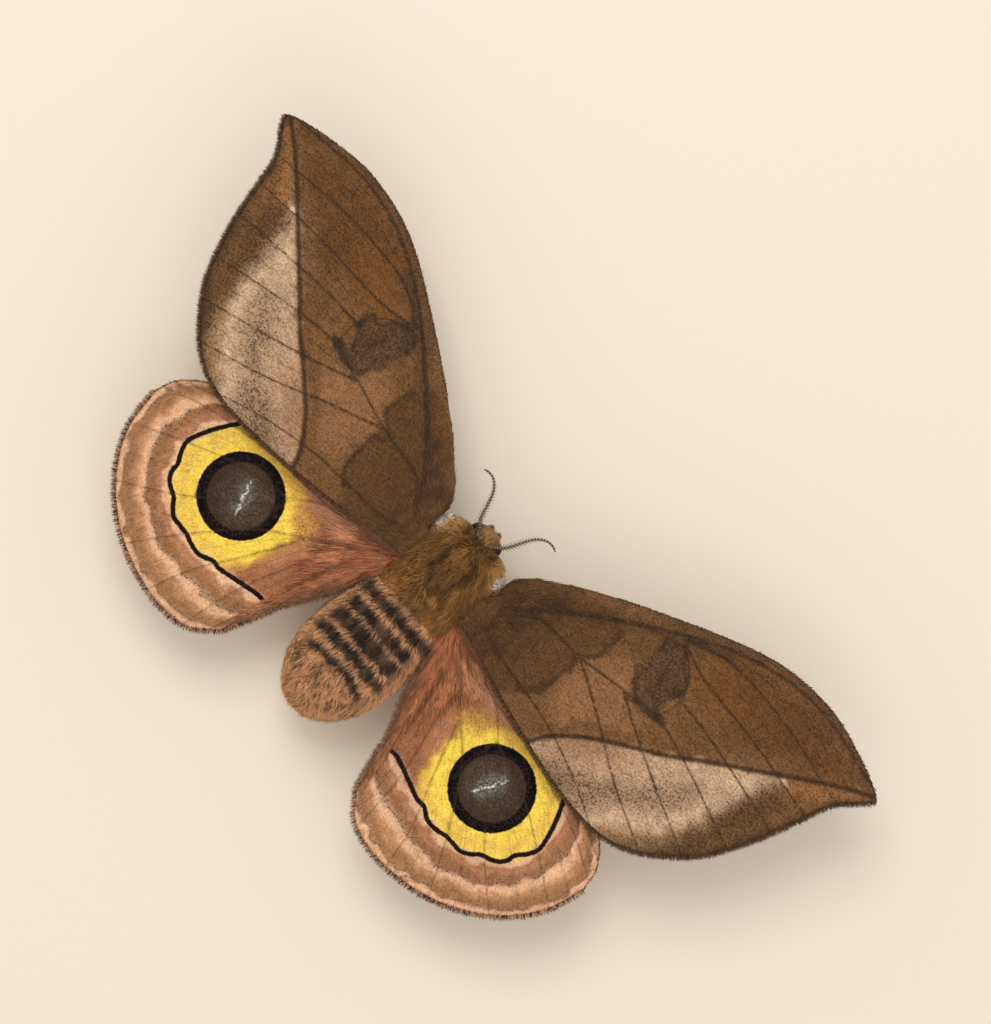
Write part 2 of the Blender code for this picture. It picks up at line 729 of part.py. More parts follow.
def main():
    clear_scene()
    moth = new_collection("silk_moth")
    brown_wing = finish_of("brown_wing", BROWN_WING)
    rose_wing = finish_of("rose_wing", ROSE_WING)
    brown_fur = finish_of("brown_fur", BROWN_FUR)
    tan_fur = finish_of("tan_fur", TAN_FUR)
    dark_fur = finish_of("dark_fur", DARK_FUR)
    dark_eye = finish_of("dark_eye", DARK_EYE)
    thread = finish_of("thread", THREAD)
    build_thorax(brown_fur, moth)
    build_abdomen(tan_fur, moth)
    build_head(brown_fur, moth)
    for word, side in SIDES:
        build_wing(
            "forewing_" + word,
            side,
            FOREWING_MARGIN,
            FOREWING_VEINS,
            forewing_height,
            FOREWING_ROOT_X,
            brown_wing,
            moth,
        )
        build_wing(
            "hindwing_" + word,
            side,
            HINDWING_MARGIN,
            HINDWING_VEINS,
            hindwing_height,
            HINDWING_ROOT_X,
            rose_wing,
            moth,
        )
        build_eye("eye_" + word, side, dark_eye, moth)
        build_feeler("antenna_" + word, side, thread, moth)
        for kind, leg in LEGS.items():
            build_leg(f"{kind}_{word}", side, leg, dark_fur, moth)
    set_on_floor(moth)


main()
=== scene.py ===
"""Looks of the zozine silk moth: painted wings, fur, feelers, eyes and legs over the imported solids.

Lengths are millimetres in the body's own frame: the origin is on the floor under the middle of the
thorax, +X towards the moth's right, +Y towards its head and +Z up. place() turns them into the
row's metres, so Object coordinates in the materials are the row's metres.
"""
import logging
import math
from dataclasses import dataclass, field
from enum import Enum

import bpy
import numpy as np
from mathutils import Matrix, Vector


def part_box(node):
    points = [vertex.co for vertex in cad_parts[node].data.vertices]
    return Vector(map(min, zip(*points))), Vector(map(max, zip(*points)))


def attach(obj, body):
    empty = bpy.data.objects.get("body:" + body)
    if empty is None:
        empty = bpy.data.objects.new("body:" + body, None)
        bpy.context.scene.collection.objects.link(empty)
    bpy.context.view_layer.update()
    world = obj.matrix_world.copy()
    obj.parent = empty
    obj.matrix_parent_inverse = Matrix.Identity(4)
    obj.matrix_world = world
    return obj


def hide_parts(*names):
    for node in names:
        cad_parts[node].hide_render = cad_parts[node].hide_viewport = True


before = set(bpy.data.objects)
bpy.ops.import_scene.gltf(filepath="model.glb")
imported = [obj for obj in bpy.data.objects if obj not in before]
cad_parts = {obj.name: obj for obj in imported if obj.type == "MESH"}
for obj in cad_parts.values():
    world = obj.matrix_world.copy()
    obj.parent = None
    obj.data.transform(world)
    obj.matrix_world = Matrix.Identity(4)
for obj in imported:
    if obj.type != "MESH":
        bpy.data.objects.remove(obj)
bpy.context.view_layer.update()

log = logging.getLogger("zozine")

MM = 0.001
ABDOMEN_TIP_Y = -22.5
SHIFT_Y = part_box("abdomen")[0][1] / MM - ABDOMEN_TIP_Y

LATTICE = 24  # cells before the noise repeats
RING_UP = (0.12, 0.1, 1.0)  # no feeler, leg or palp runs this way, so it steadies their rings
FAINT = 1e-9  # keeps a weight above nought
FAR = 50.0  # further than any point of a wing is from a vein, in millimetres
BAKE_PATCH = 0.003  # how wide a tuft's patch is on the unwrap

Array = np.ndarray
Draw = np.random.Generator
Piece = bpy.types.Object
Socket = bpy.types.NodeSocket
Pair = tuple[float, float]
Triple = tuple[float, float, float]
Colour = Triple
Marks = tuple[tuple[float, ...], ...]


class Side(Enum):
    """The moth's two sides, each with the sign of its x."""

    RIGHT = 1
    LEFT = -1

    @property
    def word(self) -> str:
        """The side's name as the nodes use it."""
        return self.name.lower()


def linear(colour: Colour) -> Array:
    """Turn 0 to 255 screen values into the linear values that shaders use."""
    share = np.asarray(colour, float) / 255.0
    return np.where(share <= 0.04045, share / 12.92, ((share + 0.055) / 1.055) ** 2.4)


def opaque(colour: Colour) -> tuple[float, float, float, float]:
    """Turn 0 to 255 screen values into a shader's colour with full alpha."""
    return (*linear(colour), 1.0)


def place(points: Array) -> Array:
    """Carry points from body millimetres into the row's metres."""
    return (points + (0.0, SHIFT_Y, 0.0)) * MM


def ease(low: float, high: float, value: Array) -> Array:
    """Rise from 0 at low to 1 at high on the curve 3t squared less 2t cubed."""
    share = np.clip((value - low) / (high - low), 0.0, 1.0)
    return share * share * (3.0 - 2.0 * share)


def unit(vectors: Array) -> Array:
    """Scale each vector to length one."""
    return vectors / np.maximum(np.linalg.norm(vectors, axis=-1, keepdims=True), 1e-9)


def curve(marks: Marks | Array, count: int) -> Array:
    """Draw one smooth line through marks, with its points evenly spaced.

    Between two marks the line is the cubic whose slopes are the chords between the marks on each
    side of them (Catmull-Rom). It is then measured, and points are taken at equal lengths.

    Args:
        marks: the points that the line passes, of any number of coordinates.
        count: how many points to return.

    Returns:
        An array of count points.
    """
    given = np.asarray(marks, float)
    padded = np.vstack((2 * given[0] - given[1], given, 2 * given[-1] - given[-2]))
    a, b, c, d = padded[:-3], padded[1:-2], padded[2:-1], padded[3:]
    t = np.linspace(0.0, 1.0, 24, endpoint=False)[None, :, None]
    a, b, c, d = a[:, None], b[:, None], c[:, None], d[:, None]
    dense = 0.5 * (2 * b + (c - a) * t + (2 * a - 5 * b + 4 * c - d) * t**2
                   + (3 * b - a - 3 * c + d) * t**3)
    dense = np.vstack((dense.reshape(-1, given.shape[1]), given[-1:]))
    return resample(dense, count)


def resample(points: Array, count: int) -> Array:
    """Take points at equal lengths along a chain of points.

    Args:
        points: the chain's points, one a row.
        count: how many points to take.

    Returns:
        An array of count points.
    """
    run = np.concatenate(([0.0], np.cumsum(np.linalg.norm(np.diff(points, axis=0), axis=1))))
    where = np.linspace(0.0, run[-1], count)
    return np.column_stack([np.interp(where, run, column) for column in points.T])


def along_line(points: Array, line: Array) -> tuple[Array, Array, Array]:
    """Measure flat points against a line.

    The nearest point of each straight piece is found by projection held between its ends, and
    the nearest piece wins. The side is the sign of the cross product with that piece.

    Args:
        points: flat points, one a row.
        line: the line's points, one a row.

    Returns:
        The distance, the same with the sign of its side, and the share of the line passed.
    """
    best = np.full(len(points), np.inf)
    side = np.ones(len(points))
    share = np.zeros(len(points))
    for index, (start, end) in enumerate(zip(line[:-1], line[1:])):
        step = end - start
        away = points - start
        t = np.clip(away @ step / max(step @ step, 1e-12), 0.0, 1.0)
        gap = np.hypot(away[:, 0] - t * step[0], away[:, 1] - t * step[1])
        nearer = gap < best
        best = np.where(nearer, gap, best)
        side = np.where(nearer, np.sign(step[0] * away[:, 1] - step[1] * away[:, 0]), side)
        share = np.where(nearer, (index + t) / (len(line) - 1), share)
    return best, best * np.where(side == 0, 1.0, side), share


def depth_inside(points: Array, outline: Array) -> Array:
    """Measure how far flat points lie inside a closed outline, negative outside.

    A point is inside where a ray from it towards +x crosses the outline an odd number of times.

    Args:
        points: flat points, one a row.
        outline: the outline's points, without the first one again at the end.

    Returns:
        The distance to the outline, negative outside.
    """
    x, y = points[:, 0], points[:, 1]
    crossed = np.zeros(len(points), bool)
    closed = np.vstack((outline, outline[:1]))
    for (x0, y0), (x1, y1) in zip(closed[:-1], closed[1:]):
        spans = (y0 > y) != (y1 > y)
        crossed ^= spans & (x < (x1 - x0) * (y - y0) / (y1 - y0 if y1 != y0 else 1e-12) + x0)
    gap = along_line(points, closed)[0]
    return np.where(crossed, gap, -gap)


def cloud(points: Array, size: Array | tuple[float, ...], seed: int) -> Array:
    """Give smooth noise between 0 and 1 at points.

    Random values sit on a lattice whose cells have the given size, repeated every LATTICE cells,
    and between them the values are mixed along each axis by the smooth step.

    Args:
        points: one point a row, in millimetres.
        size: the size of a cell along each axis.
        seed: the seed of the random values.

    Returns:
        One value a point.
    """
    cells = points / np.asarray(size, float)
    low = np.floor(cells).astype(int)
    part = cells - low
    part = part * part * (3.0 - 2.0 * part)
    table = np.random.default_rng(seed).random((LATTICE,) * points.shape[1])
    total = np.zeros(len(points))
    for corner in np.ndindex(*(2,) * points.shape[1]):
        pick = tuple((low[:, k] + corner[k]) % LATTICE for k in range(points.shape[1]))
        weight = np.prod([part[:, k] if corner[k] else 1 - part[:, k]
                          for k in range(points.shape[1])], axis=0)
        total += weight * table[pick]
    return total


def mix(one: Array, other: Array, share: Array) -> Array:
    """Blend two colours, or arrays of them, by a share for each point."""
    return one + (other - one) * share[:, None]


def dye(ground: Array, colour: Colour, share: Array) -> Array:
    """Blend a screen colour into a ground by a share for each point."""
    return mix(ground, linear(colour), share)


def plain(colour: Colour, count: int) -> Array:
    """Repeat a screen colour for many points, in linear values."""
    return np.tile(linear(colour), (count, 1))


def grid_triangles(rows: int, columns: int, wrap: bool = False, start: int = 0) -> Array:
    """Cut the cells of a grid of points into two triangles each.

    Args:
        rows: the number of rows of points.
        columns: the number of points in a row.
        wrap: whether the last point of a row joins its first.
        start: the index of the grid's first point.

    Returns:
        Triangles of point indices.
    """
    spans = columns if wrap else columns - 1
    i, j = np.meshgrid(np.arange(rows - 1), np.arange(spans), indexing="ij")
    a, b = i * columns + j, i * columns + (j + 1) % columns
    c, d = a + columns, b + columns
    lower = np.stack((a, b, d), axis=-1).reshape(-1, 3)
    upper = np.stack((a, d, c), axis=-1).reshape(-1, 3)
    return np.vstack((lower, upper)) + start


def grid_normals(grid: Array, wrap: bool) -> Array:
    """Find the normal at each point of a grid from the cross product of its two slopes.

    Args:
        grid: points by rows and columns.
        wrap: whether the last column joins the first.

    Returns:
        A vector of length one for each point.
    """
    across = np.gradient(grid, axis=1)
    if wrap:
        across = (np.roll(grid, -1, axis=1) - np.roll(grid, 1, axis=1)) / 2
    return unit(np.cross(across, np.gradient(grid, axis=0)))


def link(name: str, data: bpy.types.ID) -> Piece:
    """Put a new object into the scene.

    Args:
        name: its name.
        data: the mesh, lamp or camera that it shows.

    Returns:
        The object.
    """
    thing = bpy.data.objects.new(name, data)
    bpy.context.scene.collection.objects.link(thing)
    return thing


def make_piece(name: str, points: Array, triangles: Array, slot: str,
               material: bpy.types.Material) -> Piece:
    """Put points and triangles into an object at the origin, facing outwards.

    The signed volume of the shell, a sixth of the sum of each triangle's a . (b x c), is negative
    where its faces point inwards, and then every triangle is turned round.

    Args:
        name: the piece's name.
        points: body millimetres.
        triangles: indices of the points.
        slot: the name of a material slot; not used.
        material: what it is dressed in.

    Returns:
        The linked object, which rides with the body.
    """
    metres = place(points)
    a, b, c = (metres[triangles[:, k]] - metres.mean(axis=0) for k in range(3))
    if np.einsum("ij,ij->", a, np.cross(b, c)) < 0:
        triangles = triangles[:, ::-1]
    mesh = bpy.data.meshes.new(name)
    mesh.vertices.add(len(metres))
    mesh.vertices.foreach_set("co", metres.astype(np.float32).ravel())
    mesh.loops.add(triangles.size)
    mesh.loops.foreach_set("vertex_index", np.ascontiguousarray(triangles, np.int32).ravel())
    mesh.polygons.add(len(triangles))
    mesh.polygons.foreach_set("loop_start", np.arange(0, triangles.size, 3, dtype=np.int32))
    mesh.polygons.foreach_set("use_smooth", np.ones(len(triangles), bool))
    mesh.update(calc_edges=True)
    mesh.materials.append(material)
    piece = link(name, mesh)
    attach(piece, "root")
    log.info("%s: %d triangles", name, len(triangles))
    return piece


def set_values(piece: Piece, name: str, values: Array) -> None:
    """Store a number, a vector or a colour for each point of a piece's mesh.

    Args:
        piece: the object.
        name: the attribute's name.
        values: one value a point; three columns are a vector and four a colour.
    """
    kinds = {1: ("FLOAT", "value"), 3: ("FLOAT_VECTOR", "vector"), 4: ("FLOAT_COLOR", "color")}
    kind, key = kinds[1 if values.ndim == 1 else values.shape[1]]
    attribute = piece.data.attributes.new(name, kind, "POINT")
    attribute.data.foreach_set(key, np.ascontiguousarray(values, np.float32).ravel())


def with_alpha(colours: Array, alpha: Array | float = 1.0) -> Array:
    """Add a fourth column to an array of colours."""
    return np.column_stack((colours, np.broadcast_to(alpha, len(colours))))


class Nodes:
    """A short way to wire a material's nodes, held for one material."""

    def __init__(self, name: str) -> None:
        """Start a material that has only its output and a Principled surface.

        Args:
            name: the material's name.
        """
        self.material = bpy.data.materials.new(name)
        self.material.use_nodes = True
        self.tree = self.material.node_tree
        self.tree.nodes.clear()
        self.surface = self.tree.nodes.new("ShaderNodeBsdfPrincipled")
        output = self.tree.nodes.new("ShaderNodeOutputMaterial")
        self.tree.links.new(self.surface.outputs["BSDF"], output.inputs["Surface"])

    def wire(self, kind: str, given: dict[int | str, object], out: int | str = 0,
             **settings: object) -> Socket:
        """Add a node, fill its inputs and give one of its outputs.

        Args:
            kind: the node's type without its ShaderNode prefix.
            given: sockets or constants, each under its input's name or number.
            out: the output's name or number.
            settings: options of the node by name.

        Returns:
            The output's socket.
        """
        node = self.tree.nodes.new("ShaderNode" + kind)
        for key, value in settings.items():
            setattr(node, key, value)
        for key, value in given.items():
            self.put(value, node.inputs[key])
        return node.outputs[out]

    def put(self, value: object, socket: Socket) -> None:
        """Link a socket to another, or set its constant.

        Args:
            value: the socket to link from, or the constant.
            socket: the socket that takes it.
        """
        if isinstance(value, Socket):
            self.tree.links.new(value, socket)
        else:
            socket.default_value = value

    def math(self, operation: str, *values: object) -> Socket:
        """Work out one value from others.

        Args:
            operation: the Math node's operation.
            values: sockets or constants, in order.

        Returns:
            The result's socket.
        """
        return self.wire("Math", dict(enumerate(values)), operation=operation)

    def band(self, value: object, low: object, high: object, start: float = 0.0,
             end: float = 1.0) -> Socket:
        """Carry a value from low..high to start..end with smooth ends.

        Args:
            value: the socket that is read.
            low: where the result is start.
            high: where the result is end.
            start: the result at and before low.
            end: the result at and past high.

        Returns:
            The result's socket.
        """
        return self.wire("MapRange", dict(enumerate((value, low, high, start, end))),
                         interpolation_type="SMOOTHSTEP")

    def where(self) -> Socket:
        """Give the Object coordinates, which are the row's metres."""
        return self.wire("TexCoord", {}, "Object")

    def attribute(self, name: str, output: str = "Fac") -> Socket:
        """Read an attribute of the mesh by its name."""
        return self.wire("Attribute", {}, output, attribute_name=name)

    def noise(self, where: object, scale: float, detail: float = 2.0,
              rough: float = 0.55) -> Socket:
        """Give noise about 0.5 at a place.

        Args:
            where: the socket with the coordinates.
            scale: cells a unit of the coordinates.
            detail: octaves of finer noise.
            rough: how strong the finer octaves are.

        Returns:
            The noise's value.
        """
        return self.wire("TexNoise", {"Vector": where, "Scale": scale, "Detail": detail,
                                      "Roughness": rough}, "Fac")

    def stretched(self, where: object, scale: Triple) -> Socket:
        """Scale coordinates along each axis.

        Args:
            where: the socket with the coordinates.
            scale: the factor along each axis.

        Returns:
            The scaled coordinates' socket.
        """
        return self.wire("Mapping", {"Vector": where, "Scale": scale})

    def blend(self, share: object, one: object, other: object, way: str = "MIX") -> Socket:
        """Mix two colours.

        Args:
            share: how much of the second one shows.
            one: the first colour.
            other: the second colour.
            way: the blend type.

        Returns:
            The mixed colour's socket.
        """
        return self.wire("Mix", {0: share, 6: one, 7: other}, 2, data_type="RGBA",
                         blend_type=way)

    def lit(self, colour: object, light: object) -> Socket:
        """Multiply a colour by a brightness.

        Args:
            colour: the colour's socket.
            light: the brightness's socket.

        Returns:
            The lit colour's socket.
        """
        shade = self.wire("CombineXYZ", dict.fromkeys(range(3), light))
        return self.blend(1.0, colour, shade, "MULTIPLY")

    def bump(self, height: object, depth: float, strength: float = 1.0,
             under: object = None) -> Socket:
        """Raise the surface's shading by a height.

        Args:
            height: the socket with the height, 0 to 1.
            depth: the height in millimetres that 1 stands for.
            strength: the share of the effect.
            under: a normal that this one is added to, if any.

        Returns:
            The normal's socket.
        """
        given = {"Distance": depth * MM, "Strength": strength, "Height": height}
        if under is not None:
            given["Normal"] = under
        return self.wire("Bump", given)

    def finish(self, colour: object, normal: object = None, **constants: float) -> None:
        """Wire the surface.

        Args:
            colour: the base colour's socket or constant.
            normal: the normal's socket, if any.
            constants: numbers of the surface, with _ for spaces in their names.
        """
        self.put(colour, self.surface.inputs["Base Color"])
        if normal is not None:
            self.put(normal, self.surface.inputs["Normal"])
        for key, value in constants.items():
            self.surface.inputs[key.replace("_", " ")].default_value = value


@dataclass(frozen=True)
class Mark:
    """A soft painted place on a wing, laid over what is already there.

    Attributes:
        colour: its colour, 0 to 255.
        soft: how far its edge fades, in millimetres.
        strength: how much of what lies under it is covered.
        stipple: how many dark grains lie in it, 0 to 1.
    """

    colour: Colour
    soft: float = 1.0
    strength: float = 1.0
    stipple: float = 0.0

    def depth(self, points: Array) -> Array:
        """How far points lie inside the mark's edge."""
        return np.full(len(points), 100.0)

    def cover(self, points: Array) -> Array:
        """How much of the mark shows at points, 0 to 1."""
        return ease(-self.soft, self.soft, self.depth(points)) * self.strength


@dataclass(frozen=True)
class Stroke(Mark):
    """A band along a line.

    Attributes:
        line: the marks that it passes.
        half: half its width.
    """

    line: Marks = ()
    half: float = 0.5

    def depth(self, points: Array) -> Array:
        """The half width less the distance to the line."""
        return self.half - along_line(points, curve(self.line, 60))[0]


@dataclass(frozen=True)
class Patch(Mark):
    """A place with an outline.

    Attributes:
        outline: the points round it.
    """

    outline: Marks = ()

    def depth(self, points: Array) -> Array:
        """The distance inside the outline."""
        return depth_inside(points, np.asarray(self.outline, float))


@dataclass(frozen=True)
class Oval(Mark):
    """A place round a centre.

    Attributes:
        centre: its middle.
        radii: its half sizes.
        turn: how far it is turned, in degrees.
    """

    centre: Pair = (0.0, 0.0)
    radii: Pair = (1.0, 1.0)
    turn: float = 0.0

    def depth(self, points: Array) -> Array:
        """Give the share of the radius left, times the smaller radius.

        Args:
            points: flat points.

        Returns:
            The depth at each point.
        """
        c, s = math.cos(math.radians(self.turn)), math.sin(math.radians(self.turn))
        x, y = (points - self.centre).T
        away = np.hypot((x * c + y * s) / self.radii[0], (y * c - x * s) / self.radii[1])
        return (1.0 - away) * min(self.radii)


@dataclass(frozen=True)
class Ink:
    """A crisp line on a wing, cut by the material so that its edges stay sharp.

    Attributes:
        line: the marks that it passes.
        half: half its width.
        colour: its colour, 0 to 255.
        strength: how much it covers.
    """

    line: Marks
    half: float
    colour: Colour
    strength: float = 1.0


def ring(centre: Pair, radius: float) -> Marks:
    """Give the marks of a circle that meets itself.

    Args:
        centre: the circle's middle.
        radius: its radius.

    Returns:
        The marks, the last one on the first.
    """
    turns = np.linspace(0.0, 2 * math.pi, 25)
    return tuple((centre[0] + radius * math.cos(t), centre[1] + radius * math.sin(t))
                 for t in turns)


@dataclass(frozen=True)
class WingFinish:
    """Matt wing scales: painted ground, fine grain, dark grains, crisp lines and dotted veins.

    Attributes:
        vein: the veins' colour.
        vein_share: how much a vein covers.
        line_soft: how far a crisp line's edge fades, in millimetres.
        gain: how much brighter the scales are than the painted ground.
        grain: how much single scales differ in brightness.
        streak: how much the rows of scales and hairs along the wing differ.
        roughness: the surface's roughness.
        dark: the dark grains' colour.
        shift: how far noise moves the edge of a line or a vein, in millimetres.
        cells: noise cells in a metre: along a line's edge, between a vein's dots, for single
            scales, for patches of them and for the dark grains.
        rows: noise cells along and across the wing for the rows of scales.
    """

    vein: Colour = (62, 45, 32)
    vein_share: float = 0.7
    line_soft: float = 0.1
    gain: float = 1.06
    grain: float = 0.36
    streak: float = 0.16
    roughness: float = 0.78
    dark: Colour = (56, 41, 31)
    shift: float = 0.3
    cells: tuple[float, ...] = (2600.0, 1700.0, 4600.0, 1100.0, 4100.0)
    rows: Triple = (11.0, 110.0, 1.0)

    def material(self, name: str) -> bpy.types.Material:
        """Make the material.

        A line shows where the distance from its middle, less its half width, is below nought,
        with noise that lets the edge wander. A vein is the same, broken into dots by noise.

        Args:
            name: the material's name.

        Returns:
            The material.
        """
        n = Nodes(name)
        where, lie, ground = n.where(), n.attribute("lie", "Vector"), n.attribute("ground", "Color")
        edges, breaks, scales, patches, dots = self.cells
        wander = n.math("MULTIPLY", n.math("SUBTRACT", n.noise(where, edges, 3.0, 0.7), 0.5),
                        self.shift)
        ink = self.line(n, "ink", wander, self.line_soft)
        colour = n.blend(n.math("MULTIPLY", ink, n.attribute("ink_colour", "Alpha")), ground,
                         n.attribute("ink_colour", "Color"))
        vein = n.math("MULTIPLY", self.line(n, "vein", wander, 0.10),
                      n.band(n.noise(where, breaks, 2.0, 0.6), 0.34, 0.54, 0.5, 1.0))
        colour = n.blend(n.math("MULTIPLY", vein, self.vein_share), colour, opaque(self.vein))
        fine = n.noise(where, scales, 2.0, 0.65)
        middle = n.noise(where, patches, 3.0, 0.6)
        rows = n.noise(n.stretched(lie, self.rows), 1.0, 3.0, 0.65)
        light = n.math("ADD", n.band(fine, 0.34, 0.66, self.gain - self.grain,
                                      self.gain + self.grain * 0.9),
                       n.band(rows, 0.3, 0.7, -self.streak, self.streak))
        light = n.math("ADD", light, n.band(middle, 0.3, 0.7, -0.1, 0.1))
        colour = n.lit(colour, light)
        grains = n.attribute("stipple")
        low, high = (n.math("SUBTRACT", level, n.math("MULTIPLY", grains, 0.2))
                     for level in (0.66, 0.73))
        dark = n.math("MULTIPLY", n.band(n.noise(where, dots, 1.0), low, high),
                      n.band(grains, 0.02, 0.3, 0.05, 0.66))
        colour = n.blend(dark, colour, opaque(self.dark))
        rough = n.bump(n.math("ADD", fine, n.math("MULTIPLY", rows, 0.8)), 0.06, 0.9)
        ridge = n.bump(n.band(n.math("ABSOLUTE", n.attribute("vein_side")), 0.0, 0.4, 1.0, 0.0),
                       0.07, 0.9, rough)
        n.finish(colour, ridge, Roughness=self.roughness, Specular_IOR_Level=0.08)
        return n.material

    @staticmethod
    def line(n: Nodes, field_name: str, wander: object, soft: float) -> Socket:
        """Tell how much of a line shows, from its signed distance, its distance and its width.

        Args:
            n: the material's nodes.
            field_name: the first word of the line's attributes.
            wander: noise that shifts the line's edge.
            soft: how far the edge fades.

        Returns:
            The share of the line, 0 to 1.
        """
        width = n.attribute(field_name + "_width")
        beside = n.math("SUBTRACT", n.math("ABSOLUTE", n.attribute(field_name + "_side")), width)
        beyond = n.math("SUBTRACT", n.math("SUBTRACT", n.attribute(field_name + "_near"), width),
                        0.12)
        edge = n.math("ADD", n.math("MAXIMUM", beside, beyond), wander)
        return n.band(edge, -soft, soft, 1.0, 0.0)


class WingKind(Enum):
    """The two kinds of wing, each with the first word of its nodes."""

    FORE = "forewing"
    HIND = "hindwing"


@dataclass(frozen=True)
class WingPlan:
    """One kind of wing, seen from above on the right side.

    Attributes:
        kind: which kind it is.
        front: the front edge from the root to the tip.
        outer: the outer edge from the tip to the rear corner.
        rear: the rear edge from the root to the rear corner.
        veins: each vein's line with its half width at its start.
        ground: the colour under all marks.
        marks: the soft painted places in their order.
        inks: the crisp lines.
        root: the root's x and height, and the tip's x.
        rise: how far the tip stands over the root.
        droop: how far the edges sag, and the middle line and half width that they sag from.
        fringe: the colour of most of the fringe.
        fringe_tip: the colour of its dark hairs.
        finish: the scales' finish.
    """

    kind: WingKind
    front: Marks
    outer: Marks
    rear: Marks
    veins: tuple[tuple[Marks, float], ...]
    ground: Colour
    marks: tuple[Mark, ...]
    inks: tuple[Ink, ...]
    root: Triple
    rise: float
    droop: tuple[float, float, float, float]
    fringe: Colour
    fringe_tip: Colour
    finish: WingFinish

    def height(self, x: Array, y: Array) -> Array:
        """Give the wing's middle height: a rise along the span less a sag.

        The sag goes with the square of the distance from a slanting middle line, and fades in
        over the first quarter of the span.

        Args:
            x: how far out the points lie.
            y: how far forwards they lie.

        Returns:
            The height at each point.
        """
        out = (x - self.root[0]) / (self.root[2] - self.root[0])
        sag, slope, centre, half = self.droop
        line = centre + slope * (x - self.root[0])
        return (self.root[1] + self.rise * out
                - sag * ((y - line) / half) ** 2 * np.clip(4 * out, 0.0, 1.0))


FOREWING_FRONT = ((11, 10.6), (20, 16), (30, 20.9), (38, 22.2), (44.5, 21.1), (48.4, 19.8))
FOREWING_OUTER = ((49.3, 18.9), (48.4, 17.5), (46.4, 14.9), (45.3, 11), (43.9, 6.2), (41.4, 0.6),
                  (38, -3.3))
INNER_LINES = (((17, 9.8), (17.6, 8), (17.4, 6), (16, 5)),
               ((15.6, 4.6), (16.4, 3), (16.6, 1.5), (16, -0.5), (14.5, -2.5)))
DISC_STROKES = (
    ((60, 45, 32), 0.35, 0.85, 1.0, ((23.6, 10.9), (23.9, 10.0), (24.1, 9.2)), 0.22),
    ((62, 45, 31), 0.3, 0.85, 0.9, ((21.0, 12.2), (21.6, 13.7), (23.2, 13.9), (24.6, 12.6)), 0.2),
    ((62, 45, 31), 0.3, 0.85, 0.9, ((24.9, 12.4), (26.1, 11.6), (26.5, 10.4), (25.6, 9.6)), 0.2),
    ((66, 48, 33), 0.35, 0.8, 0.9, ((21.2, 9.2), (22.6, 6.9), (24.8, 6.6), (26.3, 7.4)), 0.16),
)

